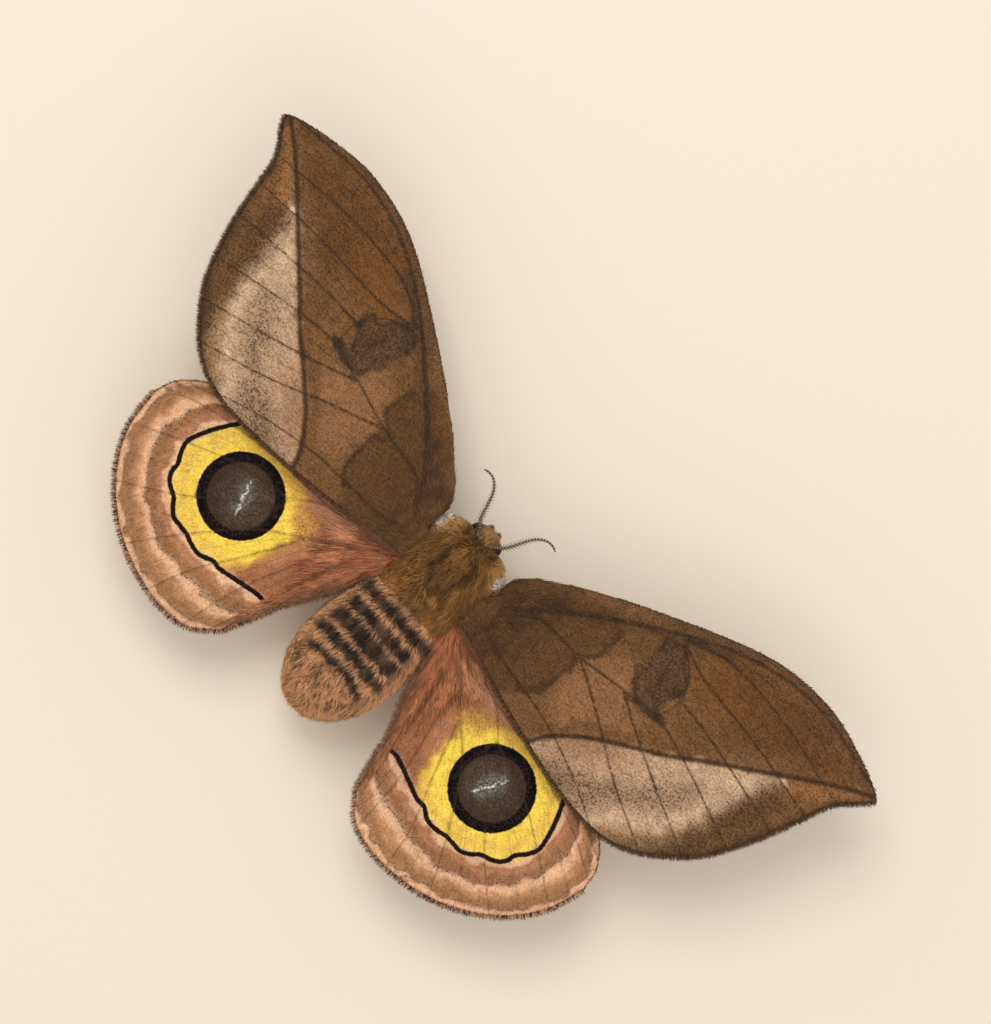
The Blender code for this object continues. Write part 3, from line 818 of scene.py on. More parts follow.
FOREWING_MARKS = (
    Patch((184, 148, 116), 0.5, 1.0, 0.12, ((47.0, 18.4), (44, 16.2), (40, 13), (38, 11.35),
        (34, 8.1), (30, 4.7), (28, 3.35), (24, 0.4), (22, -1.6), (20.5, -3.4), (18.6, -8), (36, -8),
        (46, 6), (49, 17))),
    Stroke((172, 132, 100), 1.4, 0.9, 0.1, ((22.6, -3.6), (24.5, -1.4), (27.5, 1)), 1.3),
    Stroke((134, 103, 74), 1.5, 0.9, 0.75, ((20, -7.4), (23.5, -6.4), (27, -4.4)), 1.7),
    Oval((196, 161, 128), 2.6, 0.9, centre=(37.4, 8.8), radii=(2.2, 4.2), turn=-42),
    Stroke((161, 127, 98), 1.5, 0.9, 0.6, ((35.2, 4.2), (34.0, 2.2), (32.2, 0.2), (30.2, -1.4),
        (28.5, -3.4), (27.4, -6.5)), 1.4),
    Stroke((150, 117, 90), 0.9, 0.65, 0.75, ((33.4, 1.6), (31.8, -0.2), (29.6, -2.2), (28.2, -4.2)),
        0.5),
    Stroke((199, 164, 131), 0.8, 0.95, 0.05, ((37.6, 5.2), (36.6, 1), (34.4, -1.9), (31.9, -3.9),
        (30.4, -6.5)), 0.8),
    Patch((150, 115, 80), 0.9, 0.95, 0.3, ((39.2, 4), (37.6, 1), (36.0, -1.2), (34.0, -3.2),
        (31.6, -5.2), (30.5, -7.3), (38, -7), (42, 2))),
    Patch((104, 73, 44), 1.5, 1.0, 0.75, ((46, 18), (42.6, 14.8), (41.0, 13.3), (40.1, 12.0),
        (39.5, 10.5), (38.9, 8), (38.6, 6), (38.5, 3.5), (38.2, 1), (37.5, -1.2), (36.6, -3.2),
        (36.0, -5.6), (38, -7), (47, 4), (51, 18))),
    Patch((133, 95, 60), 0.5, 0.8, 0.35, ((48.4, 19.0), (46, 17.6), (44, 16.2), (41.2, 13.9),
        (41.0, 12.9), (42.4, 13.4), (44.4, 15.2), (46.4, 16.6), (48.6, 18.2))),
    Stroke((152, 103, 63), 0.7, 0.75, 0.3, ((48.6, 18.4), (46.8, 16.9), (44.2, 14.6), (42.0, 12.6)),
        0.75),
    Stroke((136, 91, 54), 0.8, 0.5, 0.3, ((44.9, 12.8), (43.2, 9.6)), 0.6),
    Oval((220, 182, 152), 0.12, 0.95, 0.0, (40.85, 13.15), (0.45, 0.34)),
    Stroke((72, 50, 33), 0.9, 0.75, 0.3, (*FOREWING_OUTER, (34, -5.9)), 0.9),
    Stroke((124, 86, 52), 0.8, 0.45, 0.3, ((45.6, 15.8), (43.6, 11.5), (42.2, 6.5), (40.4, 1.5)),
        0.5),
    Stroke((97, 68, 44), 1.0, 0.9, 0.5, ((5.4, 5), *FOREWING_FRONT), 1.3),
    Patch((99, 64, 35), 2.2, 0.85, 0.45, ((27, 19), (38, 21), (46, 19.4), (42, 15.5), (38, 13.0),
        (34, 10.6), (29, 14.5))),
    Oval((114, 73, 37), 2.0, 0.75, 0.2, (28.2, 14.0), (5.4, 2.4), 16),
    Stroke((104, 70, 38), 2.0, 0.8, 0.3, ((30.5, 8.4), (34, 11.2), (38, 14.4)), 1.3),
    Oval((143, 101, 67), 2.2, 0.9, 0.12, (21.2, 3.0), (4.6, 5.4), 20),
    Stroke((102, 70, 40), 1.4, 0.75, 0.3, ((17, 8.8), (20, 10.6), (22.4, 12.4)), 1.2),
    Stroke((112, 76, 44), 0.8, 0.8, 0.3, ((45.4, 17.8), (42, 15.4), (38, 12.2), (34, 9.0),
        (30, 5.6), (26, 2.8), (22.6, 0.4), (20, -3.2)), 0.7),
    Patch((92, 62, 35), 0.8, 0.85, 0.35, ((4.6, 5.5), (7, 7.6), (11, 10.8), (15, 13.2), (17, 9.5),
        (17.6, 8), (17.4, 6), (16, 5), (16.4, 3), (16.6, 1.5), (16, -0.5), (14.5, -2.5), (13, -5),
        (4, -3.5))),
    Patch((86, 59, 34), 2.4, 0.95, 0.35, ((4.6, 5.5), (7, 7.6), (10.5, 9.8), (11, 6), (10, 1),
        (8, -3), (4, -3))),
    Stroke((122, 86, 52), 1.0, 0.75, 0.25, ((6.2, 6.0), (9, 8.6), (13, 11.4), (19, 14.6)), 0.7),
    Stroke((68, 47, 30), 1.1, 0.85, 0.3, ((6.5, 4), (13, 8.4), (22, 14.7), (27, 17.3)), 0.5),
    Patch((90, 64, 41), 0.5, 0.9, 0.9, ((21, 13), (22, 14.2), (23.5, 14), (24.6, 12.5), (26, 11.2),
        (26.6, 10), (26.2, 9), (26, 8), (26.8, 7), (26.4, 6.4), (22.5, 6), (21.5, 9))),
    Stroke((112, 80, 50), 0.5, 0.6, 0.4, ((22.3, 11.5), (22.6, 9.6), (23.0, 7.4)), 0.35),
    *(Stroke(*stroke) for stroke in DISC_STROKES),
    Oval((60, 45, 33), 0.3, 0.8, 0.9, (26.4, 10.3), (0.4, 0.32)),
    Oval((56, 42, 31), 0.3, 0.9, 0.9, (26.8, 7.1), (0.7, 0.5)),
    *(Stroke((66, 46, 29), 0.35, 0.85, 0.7, line, 0.26) for line in INNER_LINES),
)
FOREWING = WingPlan(
    kind=WingKind.FORE,
    front=((3.6, 1.0), (4.9, 1.6), (5.25, 3.2), (5.2, 4.7), (6.1, 6.2), (7.2, 7.4),
           *FOREWING_FRONT, FOREWING_OUTER[0]),
    outer=(*FOREWING_OUTER, (35.6, -5.2)),
    rear=((3.6, -2.3), (5.7, -2.7), (9, -3.8), (15, -5.1), (23, -6.4), (29, -6.8), (33, -6.3),
          (35.6, -5.2)),
    veins=(
        (((6.2, 1.7), (13, 8.2), (22, 15.1), (30, 19.4), (38, 20.9), (47.2, 19.7)), 0.30),
        (((22.6, 14.9), (27.5, 16.9), (36, 17), (45.4, 15.6)), 0.16),
        (((22.3, 14.6), (27, 13.5), (36, 13.1), (45.3, 12.0)), 0.16),
        (((26.9, 10.1), (33, 9.7), (44.6, 8.1)), 0.16),
        (((22.2, 6.1), (26.6, 6.9), (32, 6.1), (42.9, 3.2)), 0.16),
        (((6.2, 1.0), (10, 4.1), (16.2, 4.9), (22, 6.1)), 0.24),
        (((22.2, 6), (27, 3.9), (33, 1.6), (40.4, -0.9)), 0.16),
        (((16.4, 4.8), (22, 2.3), (29, -1.2), (37.0, -4.2)), 0.16),
        (((6.3, -0.8), (11, -1.7), (19, -2.5), (26, -4.3), (31, -6.3)), 0.16),
        (((22.4, 14.5), (25.4, 12.6), (26.9, 10.1), (26.6, 7)), 0.12),
    ),
    ground=(118, 82, 49),
    marks=FOREWING_MARKS,
    inks=(
        Ink(((48.6, 19.3), (46, 17.6), (44, 16.2), (40, 13), (38, 11.35), (34, 8.1), (30, 4.7),
             (28, 3.3), (24, 0.3), (22, -1.6), (20.5, -3.4), (19.2, -6.2)), 0.27,
            (64, 44, 28), 0.9),
    ),
    root=(5.7, 9.6, 49.3), rise=2.2, droop=(0.9, 0.33, 0.0, 13.0),
    fringe=(112, 80, 52), fringe_tip=(74, 54, 39),
    finish=WingFinish(vein_share=0.85, line_soft=0.2, grain=0.32),
)

HINDWING_LINE = ((26.6, -5.8), (28.0, -8.2), (28.9, -10.2), (29.3, -12), (28.9, -13.8),
                 (28.1, -15.6), (26.9, -17.1), (25, -18.3), (22.6, -19.1), (20.2, -19.4),
                 (17.4, -19.0), (14.6, -18.4), (12.4, -17.8), (9.8, -17.4))
HINDWING_RIM = ((32.0, -5.5), (35.2, -8.4), (36.2, -11.4), (35, -16.4), (31.8, -21),
                (26.6, -24.7), (19.8, -26.6), (14.2, -26), (11, -23.2))
EYE_CENTRE = (21.0, -11.65)


def across(share: float) -> Marks:
    """Give a line between the hindwing's wavy line and its rim, at a share of the way.

    Both are resampled to the same count, and each point of one is mixed with its partner.

    Args:
        share: 0 for the wavy line, 1 for the rim.

    Returns:
        The line's marks.
    """
    inner, rim = (resample(curve(line, 200), 24)
                  for line in (HINDWING_LINE, HINDWING_RIM))
    return tuple(map(tuple, inner + (rim - inner) * share))


RIM_BANDS = (  # colour, soft, strength, stipple, share of the way to the rim, half width
    ((218, 168, 130), 0.22, 1.0, 0.0, 0.05, 0.32),
    ((160, 108, 74), 0.28, 1.0, 0.1, 0.24, 1.0),
    ((184, 125, 88), 0.4, 0.75, 0.0, 0.18, 0.3),
    ((218, 168, 130), 0.15, 0.9, 0.0, 0.045, 0.26),
    ((146, 103, 70), 0.4, 0.8, 0.25, 0.29, 0.5),
    ((112, 78, 54), 0.28, 0.65, 1.0, 0.395, 0.14),
    ((220, 168, 128), 0.3, 1.0, 0.0, 0.52, 0.42),
    ((184, 132, 90), 0.35, 1.0, 0.08, 0.635, 0.55),
    ((154, 110, 73), 0.45, 1.0, 0.15, 0.74, 0.62),
    ((110, 78, 52), 0.22, 0.85, 0.4, 0.825, 0.14),
    ((222, 170, 130), 0.22, 0.95, 0.1, 0.875, 0.24),
    ((120, 84, 58), 0.25, 0.5, 0.9, 0.945, 0.14),
)
GLINTS = (  # the broken white line on the eyespot: marks, half width, colour, strength
    (((19.9, -13.4), (20.1, -13.0), (20.05, -12.75)), 0.11, (214, 210, 198), 0.9),
    (((20.35, -12.55), (20.4, -12.2)), 0.1, (222, 218, 206), 0.9),
    (((20.6, -11.95), (20.9, -11.4)), 0.13, (226, 222, 210), 0.95),
    (((20.75, -11.0), (20.9, -10.75)), 0.09, (212, 208, 196), 0.85),
    (((21.2, -10.7), (21.35, -10.4)), 0.08, (206, 202, 190), 0.8),
    (((21.3, -10.1), (21.45, -9.85)), 0.07, (200, 196, 184), 0.75),
    (((20.1, -11.9), (19.95, -11.5)), 0.06, (170, 164, 150), 0.7),
)

HINDWING_MARKS = (
    Patch((152, 97, 66), 1.0, 1.0, 0.2, ((2, 1), (18, 0), (27, -2.5), (27, -8), (20, -12),
        (17, -18.6), (10, -17.2), (8, -20), (2, -10))),
    # the wing's own pale pink, painted paler still as painted light against the forewing's shadow
    Stroke((182, 132, 98), 1.2, 0.9, 0.1, ((8, -4.0), (11, -5.2), (16, -5.4), (22, -4.6)), 0.8),
    Stroke((176, 119, 82), 1.1, 0.85, 0.1, ((9, -7.4), (11.5, -9.6), (12.8, -12), (13.4, -14)),
        0.7),
    Patch((237, 199, 76), 0.5, 1.0, 0.0, ((27.0, -6.6), (28, -8.4), (28.7, -10), (29.3, -12),
        (28.9, -13.4), (28, -15.5), (27.2, -16.6), (25, -18), (22.6, -18.85), (20.4, -19.2),
        (17.6, -18.7), (16.0, -18.2), (14.7, -16.4), (14.2, -14.2), (14.1, -11.4), (13.7, -9.5),
        (15.2, -8.1), (16.8, -6.6), (20, -5.4), (25, -5.6))),
    Oval((196, 146, 76), 1.0, 0.75, 0.45, (13.9, -8.7), (1.7, 1.3), 30),
    Stroke((190, 138, 68), 1.0, 0.75, 0.25, ((26.4, -6.6), (21, -6.1), (17.0, -6.9), (14.4, -8.4)),
        0.6),
    Stroke((196, 140, 70), 0.7, 0.6, 0.15, ((13.4, -9.8), (13.9, -12.4), (14.2, -14.8),
        (15.9, -18)), 0.35),
    Stroke((207, 150, 92), 0.9, 0.45, 0.0, ((15.5, -17.2), (19, -17.9), (23.5, -17.4),
        (26.8, -14.8), (27.6, -11.2), (26.4, -8.2)), 0.5),
    *(Stroke(*look, across(share), half) for *look, share, half in RIM_BANDS),
    Patch((148, 98, 66), 1.0, 0.85, 0.35, ((5, -6), (8, -12), (10.2, -16.6), (10.6, -20),
        (11.6, -24), (8, -24), (4, -12))),
    Oval((62, 46, 37), 0.2, 1.0, 0.8, EYE_CENTRE, (4.5, 4.5)),
    Stroke((82, 64, 52), 0.9, 0.8, 0.7, ((18.6, -9.6), (18.2, -12.4), (19.6, -14.4)), 0.5),
    Oval((88, 73, 63), 0.9, 0.6, 1.0, (20.9, -11.7), (2.9, 3.0)),
    Oval((88, 82, 73), 0.5, 0.95, 0.5, (20.5, -11.7), (1.35, 2.05), -18),
    Oval((118, 112, 101), 0.4, 0.8, 0.9, (20.5, -11.7), (0.7, 1.6), -14),
)
HINDWING = WingPlan(
    kind=WingKind.HIND,
    front=((3.6, -2.0), (5.5, -1.9), (10, -0.9), (18, -1.3), (26, -3.1), *HINDWING_RIM[:3]),
    outer=HINDWING_RIM[2:],
    rear=((3.6, -4.9), (5.3, -5.4), (6.2, -8.8), (7.3, -12.4), (8.9, -16.2), (9.8, -19.4),
          (11, -23.2)),
    veins=(
        (((6.1, -2.6), (14, -2.7), (25, -4.6), (34.4, -8.1)), 0.2),
        (((14.2, -5.4), (22, -6.2), (30, -8), (35.8, -10.5)), 0.16),
        (((6.1, -3.2), (9.5, -4.6), (14, -5.4), (17.4, -7.8)), 0.2),
        (((17.6, -8), (23.5, -9.6), (29, -12.2), (35.0, -15.6)), 0.16),
        (((17.2, -9.2), (21.5, -13), (26.2, -17.3), (31.6, -21.2)), 0.16),
        (((6.1, -3.9), (9.4, -6.4), (13, -9.4)), 0.2),
        (((13.2, -9.5), (17.2, -12.9), (21.4, -18.4), (25.5, -24.9)), 0.16),
        (((13, -9.7), (15.7, -15.6), (18.4, -21), (20.0, -26.4)), 0.16),
        (((9.6, -7), (11.6, -12.4), (13.6, -19), (14.6, -25.9)), 0.16),
        (((6.2, -4.6), (8.2, -9.4), (10.4, -16.6), (12, -22.8)), 0.16),
        (((17.5, -7.9), (17.3, -9.2), (17.2, -12.6)), 0.12),
    ),
    ground=(214, 170, 132),
    marks=HINDWING_MARKS,
    inks=(
        Ink(ring((20.96, -11.72), 4.3), 0.58, (14, 9, 10)),
        *(Ink(*glint) for glint in GLINTS),
        Ink(((27.0, -6.6), (28, -8.4), (28.7, -10), (29.3, -12), (28.9, -13.4), (28.1, -14.6),
             (28, -15.5), (27.2, -16.6), (25.7, -17.3), (25, -18), (24, -18.75), (22.6, -18.85),
             (21.6, -18.9), (20.4, -19.25), (19, -19.3), (17.6, -18.6), (16.5, -18.65),
             (14.2, -18), (12, -17.4), (11.0, -17.3), (10.2, -17.5)), 0.27, (24, 16, 13)),
    ),
    root=(5.5, 8.0, 36.2), rise=0.5, droop=(0.8, 0.0, -14.0, 13.0),
    fringe=(205, 155, 118), fringe_tip=(62, 46, 36),
    finish=WingFinish(vein_share=0.5, line_soft=0.08, gain=1.14, grain=0.2),
)


def nearest(points: Array, lines: list[tuple[Array, float]],
            taper: float) -> tuple[Array, Array, Array, Array]:
    """Find for each point the line whose edge is nearest.

    Args:
        points: flat points, one a row.
        lines: each line's points and its half width at its start.
        taper: the share of its width that a line loses on its way.

    Returns:
        The signed distance, the distance and the half width of the nearest line, and its index,
        or -1 where every line is further than FAR.
    """
    near = np.full(len(points), FAR)
    side, width = near.copy(), np.full(len(points), 0.1)
    which = np.full(len(points), -1)
    for index, (line, half) in enumerate(lines):
        gap, signed, share = along_line(points, line)
        here = half * (1.0 - taper * share)
        closer = gap - here < near - width
        near, side = np.where(closer, gap, near), np.where(closer, signed, side)
        width, which = np.where(closer, here, width), np.where(closer, index, which)
    return side, near, width, which


@dataclass
class Wing:
    """A wing: one closed skin with veins standing out on both faces, painted point by point.

    Attributes:
        plan: the kind of wing.
        side: which side it is on.
        steps: how many points the grid has along the span and across it.
        seed: the seed of its noise.
        inset: how far the skin stays inside the solid's edge, where the fringe takes over.
        below: the pale colour that the underside is mixed with.
        grid: the upper face's points, once it is built.
    """

    plan: WingPlan
    side: Side
    steps: tuple[int, int]
    seed: int
    inset: float = 0.4
    below: Colour = (186, 140, 104)
    grid: Array = field(init=False)

    @property
    def kind(self) -> str:
        """The first word of the wing's nodes."""
        return self.plan.kind.value

    def outline(self) -> tuple[Array, Array, Array]:
        """Find the front, outer and rear edges, pulled in by the inset away from the root.

        The three edges are one chain. Each point moves along the chain's inward normal by the
        inset times a step that rises with x over the first few millimetres.

        Returns:
            The front edge from the root, the outer edge and the rear edge from the root.
        """
        chain = [curve(edge, 400) for edge in
                 (self.plan.front, self.plan.outer, self.plan.rear[::-1])]
        joined = np.vstack(chain)
        slope = unit(np.gradient(joined, axis=0))
        for _ in range(6):
            slope = unit((np.roll(slope, 1, axis=0) + slope + np.roll(slope, -1, axis=0)) / 3)
        inward = np.column_stack((slope[:, 1], -slope[:, 0]))
        joined = joined + inward * (self.inset * ease(5.0, 9.0, joined[:, 0]))[:, None]
        front, outer, rear = joined[:400], joined[400:800], joined[800:]
        outer[0], rear[0] = front[-1], outer[-1]
        return front, outer, rear[::-1]

    def sheet(self) -> Array:
        """Spread a grid of flat points between the edges.

        A Coons patch: the mix of front and rear edge, plus the mix of root and outer edge, less
        the mix of the four corners.

        Returns:
            An array of rows along the span by columns across it by two coordinates.
        """
        front, outer, rear = self.outline()
        rows, columns = self.steps
        front, rear = resample(front, rows), resample(rear, rows)
        outer = resample(outer, columns)
        root = np.linspace(front[0], rear[0], columns)
        u = np.linspace(0, 1, rows)[:, None, None]
        v = np.linspace(0, 1, columns)[None, :, None]
        return ((1 - v) * front[:, None] + v * rear[:, None]
                + (1 - u) * root[None] + u * outer[None]
                - (1 - u) * (1 - v) * front[0] - (1 - u) * v * rear[0]
                - u * (1 - v) * front[-1] - u * v * rear[-1])

    def veins(self, flat: Array) -> tuple[Array, Array, Array]:
        """Measure points against the veins, which thin out along their length.

        Args:
            flat: flat points.

        Returns:
            The signed distance, the distance and the half width of the vein that is nearest once
            its half width is taken off.
        """
        lines = [(curve(line, 50), half) for line, half in self.plan.veins]
        return nearest(flat, lines, 0.55)[:3]

    def inks(self, flat: Array) -> tuple[Array, Array, Array, Array]:
        """Measure points against the crisp lines, nearest edge first.

        Args:
            flat: flat points.

        Returns:
            The signed distance, the distance, the half width and the colour of the nearest line.
        """
        lines = [(curve(ink.line, 90), ink.half) for ink in self.plan.inks]
        side, near, width, which = nearest(flat, lines, 0.0)
        colours = [(*linear(ink.colour), ink.strength) for ink in self.plan.inks]
        return side, near, width, np.array((*colours, (0, 0, 0, 0)))[which]

    def paint(self, flat: Array) -> tuple[Array, Array]:
        """Lay the soft marks over the ground, with their edges shifted by noise.

        Args:
            flat: flat points.

        Returns:
            Linear colours and the amount of dark grains.
        """
        shifted = flat + 0.9 * np.column_stack(
            [cloud(flat, (1.1, 1.1), self.seed + k) - 0.5 for k in (1, 2)])
        colour = plain(self.plan.ground, len(flat))
        grains = np.full(len(flat), 0.25)
        for mark in self.plan.marks:
            share = mark.cover(shifted)
            colour = dye(colour, mark.colour, share)
            grains += (mark.stipple - grains) * share
        broad = cloud(flat, (3.2, 3.2), self.seed + 5) + cloud(flat, (0.8, 0.8), self.seed + 6)
        return colour * (1.0 + 0.14 * (broad[:, None] - 1.0)), grains

    def build(self) -> Piece:
        """Build the skin and its fields and dress it.

        Both faces lie on the middle height, apart by the thickness, which falls from the root to
        the edge and grows over each vein by a bell of its distance. Between the veins the skin
        sags a little. The two faces are sewn together by a strip round the edge.

        Returns:
            The wing's object.
        """
        rows, columns = self.steps
        flat = self.sheet().reshape(-1, 2)
        side, near, width = self.veins(flat)
        i, j = np.divmod(np.arange(rows * columns), columns)
        edge = np.minimum.reduce((j, columns - 1 - j, rows - 1 - i)).astype(float)
        rim = ease(0, 6, edge)
        out = np.clip((flat[:, 0] - 5.0) / (self.plan.root[2] - 5.0), 0, 1)
        height = self.plan.height(*flat.T)
        height -= 0.14 * ease(0.0, 2.2, near - width) * ease(0.02, 0.12, out) * rim
        height += 0.10 * (cloud(flat, (4.0, 4.0), self.seed + 9) - 0.5) * rim
        half = (0.03 + rim * (0.06 + 0.09 * (1 - out) ** 2)
                + (0.10 - 0.05 * out) * np.exp(-(near / (0.9 * width + 0.05)) ** 2) * rim)
        x = flat[:, 0] * self.side.value
        top, under = (np.column_stack((x, flat[:, 1], height + sign * half)) for sign in (1, -1))
        self.grid = top.reshape(rows, columns, 3)
        count = rows * columns
        index = np.arange(count).reshape(rows, columns)
        loop = np.concatenate((index[:-1, 0], index[-1, :-1], index[:0:-1, -1], index[0, :0:-1]))
        after = np.roll(loop, -1)
        strip = np.vstack((np.column_stack((loop, after, after + count)),
                           np.column_stack((loop, after + count, loop + count))))
        faces = grid_triangles(rows, columns)
        if np.cross(*(top[faces[0, k], :2] - top[faces[0, 0], :2] for k in (1, 2))) < 0:
            faces = faces[:, ::-1]
        back = faces[:, ::-1] + count
        if not self.follows(faces, strip):
            strip = strip[:, ::-1]
        name = f"{self.kind}_{self.side.word}_skin"
        piece = make_piece(name, np.vstack((top, under)), np.vstack((faces, back, strip)),
                           self.kind + "_scales", self.plan.finish.material(name))
        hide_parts(f"{self.kind}_{self.side.word}")
        self.store(piece, flat, (side, near, width), i / (rows - 1), j / (columns - 1))
        return piece

    @staticmethod
    def follows(faces: Array, strip: Array) -> bool:
        """Tell whether the strip runs its first edge the other way than the faces do.

        Args:
            faces: the upper face's triangles.
            strip: the triangles round the edge.

        Returns:
            Whether the two face the same way.
        """
        a, b = strip[0, 0], strip[0, 1]
        edges = np.vstack((faces[:, [0, 1]], faces[:, [1, 2]], faces[:, [2, 0]]))
        return bool(((edges[:, 0] == b) & (edges[:, 1] == a)).any())

    def store(self, piece: Piece, flat: Array, veins: tuple[Array, Array, Array],
              u: Array, v: Array) -> None:
        """Store every field that the material reads, for the upper and the under face.

        Args:
            piece: the wing.
            flat: its flat points.
            veins: signed distance, distance and half width of the nearest vein.
            u: the share of the span at each point.
            v: the share across the wing at each point.
        """
        colour, grains = self.paint(flat)
        below = dye(colour, self.below, np.full(len(flat), 0.5))
        ink_side, ink_near, ink_width, ink = self.inks(flat)
        ink_below = ink * (1, 1, 1, 0.7)
        lie = np.column_stack((u * 4, v, np.full(len(flat), float(self.seed))))
        set_values(piece, "ground", with_alpha(np.vstack((colour, below))))
        set_values(piece, "stipple", np.concatenate((grains, grains * 0.7)))
        set_values(piece, "ink_colour", np.vstack((ink, ink_below)))
        set_values(piece, "lie", np.vstack((lie, lie + (0, 0, 7))))
        for name, values in (("ink_side", ink_side), ("ink_near", ink_near),
                             ("ink_width", ink_width), ("vein_side", veins[0]),
                             ("vein_near", veins[1]), ("vein_width", veins[2])):
            set_values(piece, name, np.concatenate((values, values)))


@dataclass
class Sheet:
    """A grid of points over a skin, from which hairs grow.

    Attributes:
        grid: points by rows and columns.
        normals: the outward normal at each point.
        wrap: whether the last column joins the first.
    """

    grid: Array
    normals: Array
    wrap: bool = False

    def scatter(self, count: int, weight: Array, rng: Draw) -> "Roots":
        """Pick places on the sheet, more of them where the weight is high.

        A cell is drawn with a chance that goes with its area and weight, and a place in it is the
        bilinear mix of its four corners.

        Args:
            count: how many places to pick.
            weight: the density at each point of the grid.
            rng: the random draw.

        Returns:
            The places.
        """
        if self.wrap:
            grid, normals, weight = (np.concatenate((a, a[:, :1]), axis=1)
                                     for a in (self.grid, self.normals, weight))
        else:
            grid, normals = self.grid, self.normals
        across, along = grid[:-1, 1:] - grid[:-1, :-1], grid[1:, :-1] - grid[:-1, :-1]
        area = np.linalg.norm(np.cross(across, along), axis=2) * weight[:-1, :-1]
        cell = rng.choice(area.size, size=count, p=area.ravel() / area.sum())
        i, j = np.divmod(cell, area.shape[1])
        s, t = rng.random((2, count))[..., None]

        def blend(values: Array) -> Array:
            """Mix the four corners of each picked cell."""
            return ((1 - s) * (1 - t) * values[i, j] + (1 - s) * t * values[i, j + 1]
                    + s * (1 - t) * values[i + 1, j] + s * t * values[i + 1, j + 1])

        uv = np.column_stack(((i + s[:, 0]) / (grid.shape[0] - 1),
                              (j + t[:, 0]) / (grid.shape[1] - 1)))
        return Roots(blend(grid), unit(blend(normals)), uv)


@dataclass
class Roots:
    """The places where hairs stand.

    Attributes:
        points: the places.
        normals: the outward normal at each.
        uv: their place on the unwrap.
    """

    points: Array
    normals: Array
    uv: Array


@dataclass(frozen=True)
class Tuft:
    """How a coat's tufts look.

    Attributes:
        length: a tuft's length.
        width: its width at the root.
        lift: how far it stands off the skin, in degrees.
        spread: how far it turns from the lie, in degrees.
        vary: how much the lengths differ.
        floor: the lowest height that a tuft may reach.
    """

    length: float
    width: float
    lift: float
    spread: float = 14.0
    vary: float = 0.3
    floor: float = 0.02


ROOT_SUNK = 0.1  # how deep a tuft's root stands in the skin
TUFT_FACES = np.array(((0, 2, 1), (0, 1, 4), (0, 4, 3), (1, 2, 5), (1, 5, 4), (2, 0, 3),
                       (2, 3, 5), (3, 4, 6), (4, 5, 6), (5, 3, 6)))
# painted shade on each tuft's root ring, and painted light on its tip
TUFT_ROOT_SHADE_TIP_LIGHT = np.array((0.62, 0.62, 0.62, 1.0, 1.0, 1.0, 1.18))[None, :, None]


def repeated(faces: Array, count: int) -> Array:
    """Repeat the triangles of one small closed form for many of them.

    Args:
        faces: the first form's triangles, which use all its points.
        count: how many forms there are.

    Returns:
        The triangles of all the forms.
    """
    step = faces.max() + 1
    return (faces[None] + step * np.arange(count)[:, None, None]).reshape(-1, 3)


def grow(name: str, slot: str, roots: Roots, lie: Array, tuft: Tuft, colours: Array,
         rng: Draw, scale: Array | float = 1.0) -> Piece:
    """Grow a closed, pointed tuft from every root.

    A tuft is a bent three-sided spike of seven points. Its root ring is sunk a little, its middle
    ring lies half its length along the lie at the lift angle, and its tip comes down by the
    second half at a third of that angle. A tuft is painted darker at its root, as painted shade
    among the hairs, and paler at its tip, as painted light.

    Args:
        name: the piece's name.
        slot: the name of a material slot, passed on to make_piece.
        roots: where the tufts stand.
        lie: the way that each tuft points.
        tuft: how the tufts look.
        colours: a linear colour for each tuft.
        rng: the random draw.
        scale: a share of the length for each tuft.

    Returns:
        The coat's object, with its colours and its unwrap, dressed as fur.
    """
    count = len(roots.points)
    normal = roots.normals
    flat = unit(lie - np.sum(lie * normal, axis=1, keepdims=True) * normal)
    beside = np.cross(flat, normal)
    turn = np.radians(rng.normal(0, tuft.spread, count))[:, None]
    flat = flat * np.cos(turn) + beside * np.sin(turn)
    beside = np.cross(flat, normal)
    lift = np.radians(tuft.lift * rng.uniform(0.5, 1.4, count))[:, None]
    length = (tuft.length * scale * rng.uniform(1 - tuft.vary, 1 + tuft.vary, count))[:, None]
    width = (tuft.width * rng.uniform(0.75, 1.25, count))[:, None]
    root = roots.points - normal * ROOT_SUNK
    middle = roots.points + 0.5 * length * (flat * np.cos(lift) + normal * np.sin(lift))
    tip = middle + 0.5 * length * (flat * np.cos(lift / 3) + normal * np.sin(lift / 3))
    ring = []
    for centre, share in ((root, 0.5), (middle, 0.38)):
        for angle in (90.0, 210.0, 330.0):
            c, s = math.cos(math.radians(angle)), math.sin(math.radians(angle))
            ring.append(centre + width * share * (beside * c + normal * s * 0.7))
    points = np.stack((*ring, tip), axis=1)
    points[..., 2] = np.maximum(points[..., 2], tuft.floor)
    piece = make_piece(name, points.reshape(-1, 3), repeated(TUFT_FACES, count), slot,
                       FurFinish().material(name))
    tint = colours[:, None, :] * TUFT_ROOT_SHADE_TIP_LIGHT * rng.uniform(0.82, 1.18, (count, 1, 1))
    set_values(piece, "tint", with_alpha(tint.reshape(-1, 3)))
    turns = np.linspace(0, 5.4, 7)
    corner = BAKE_PATCH / 2 * np.column_stack((np.cos(turns), np.sin(turns)))
    uv = np.clip(roots.uv, BAKE_PATCH, 1 - BAKE_PATCH)[:, None, :] + corner[None]
    layer = piece.data.uv_layers.new(name="OFBake")
    order = np.empty(len(piece.data.loops), np.int32)
    piece.data.loops.foreach_get("vertex_index", order)
    layer.data.foreach_set("uv", uv.reshape(-1, 2)[order].astype(np.float32).ravel())
    return piece


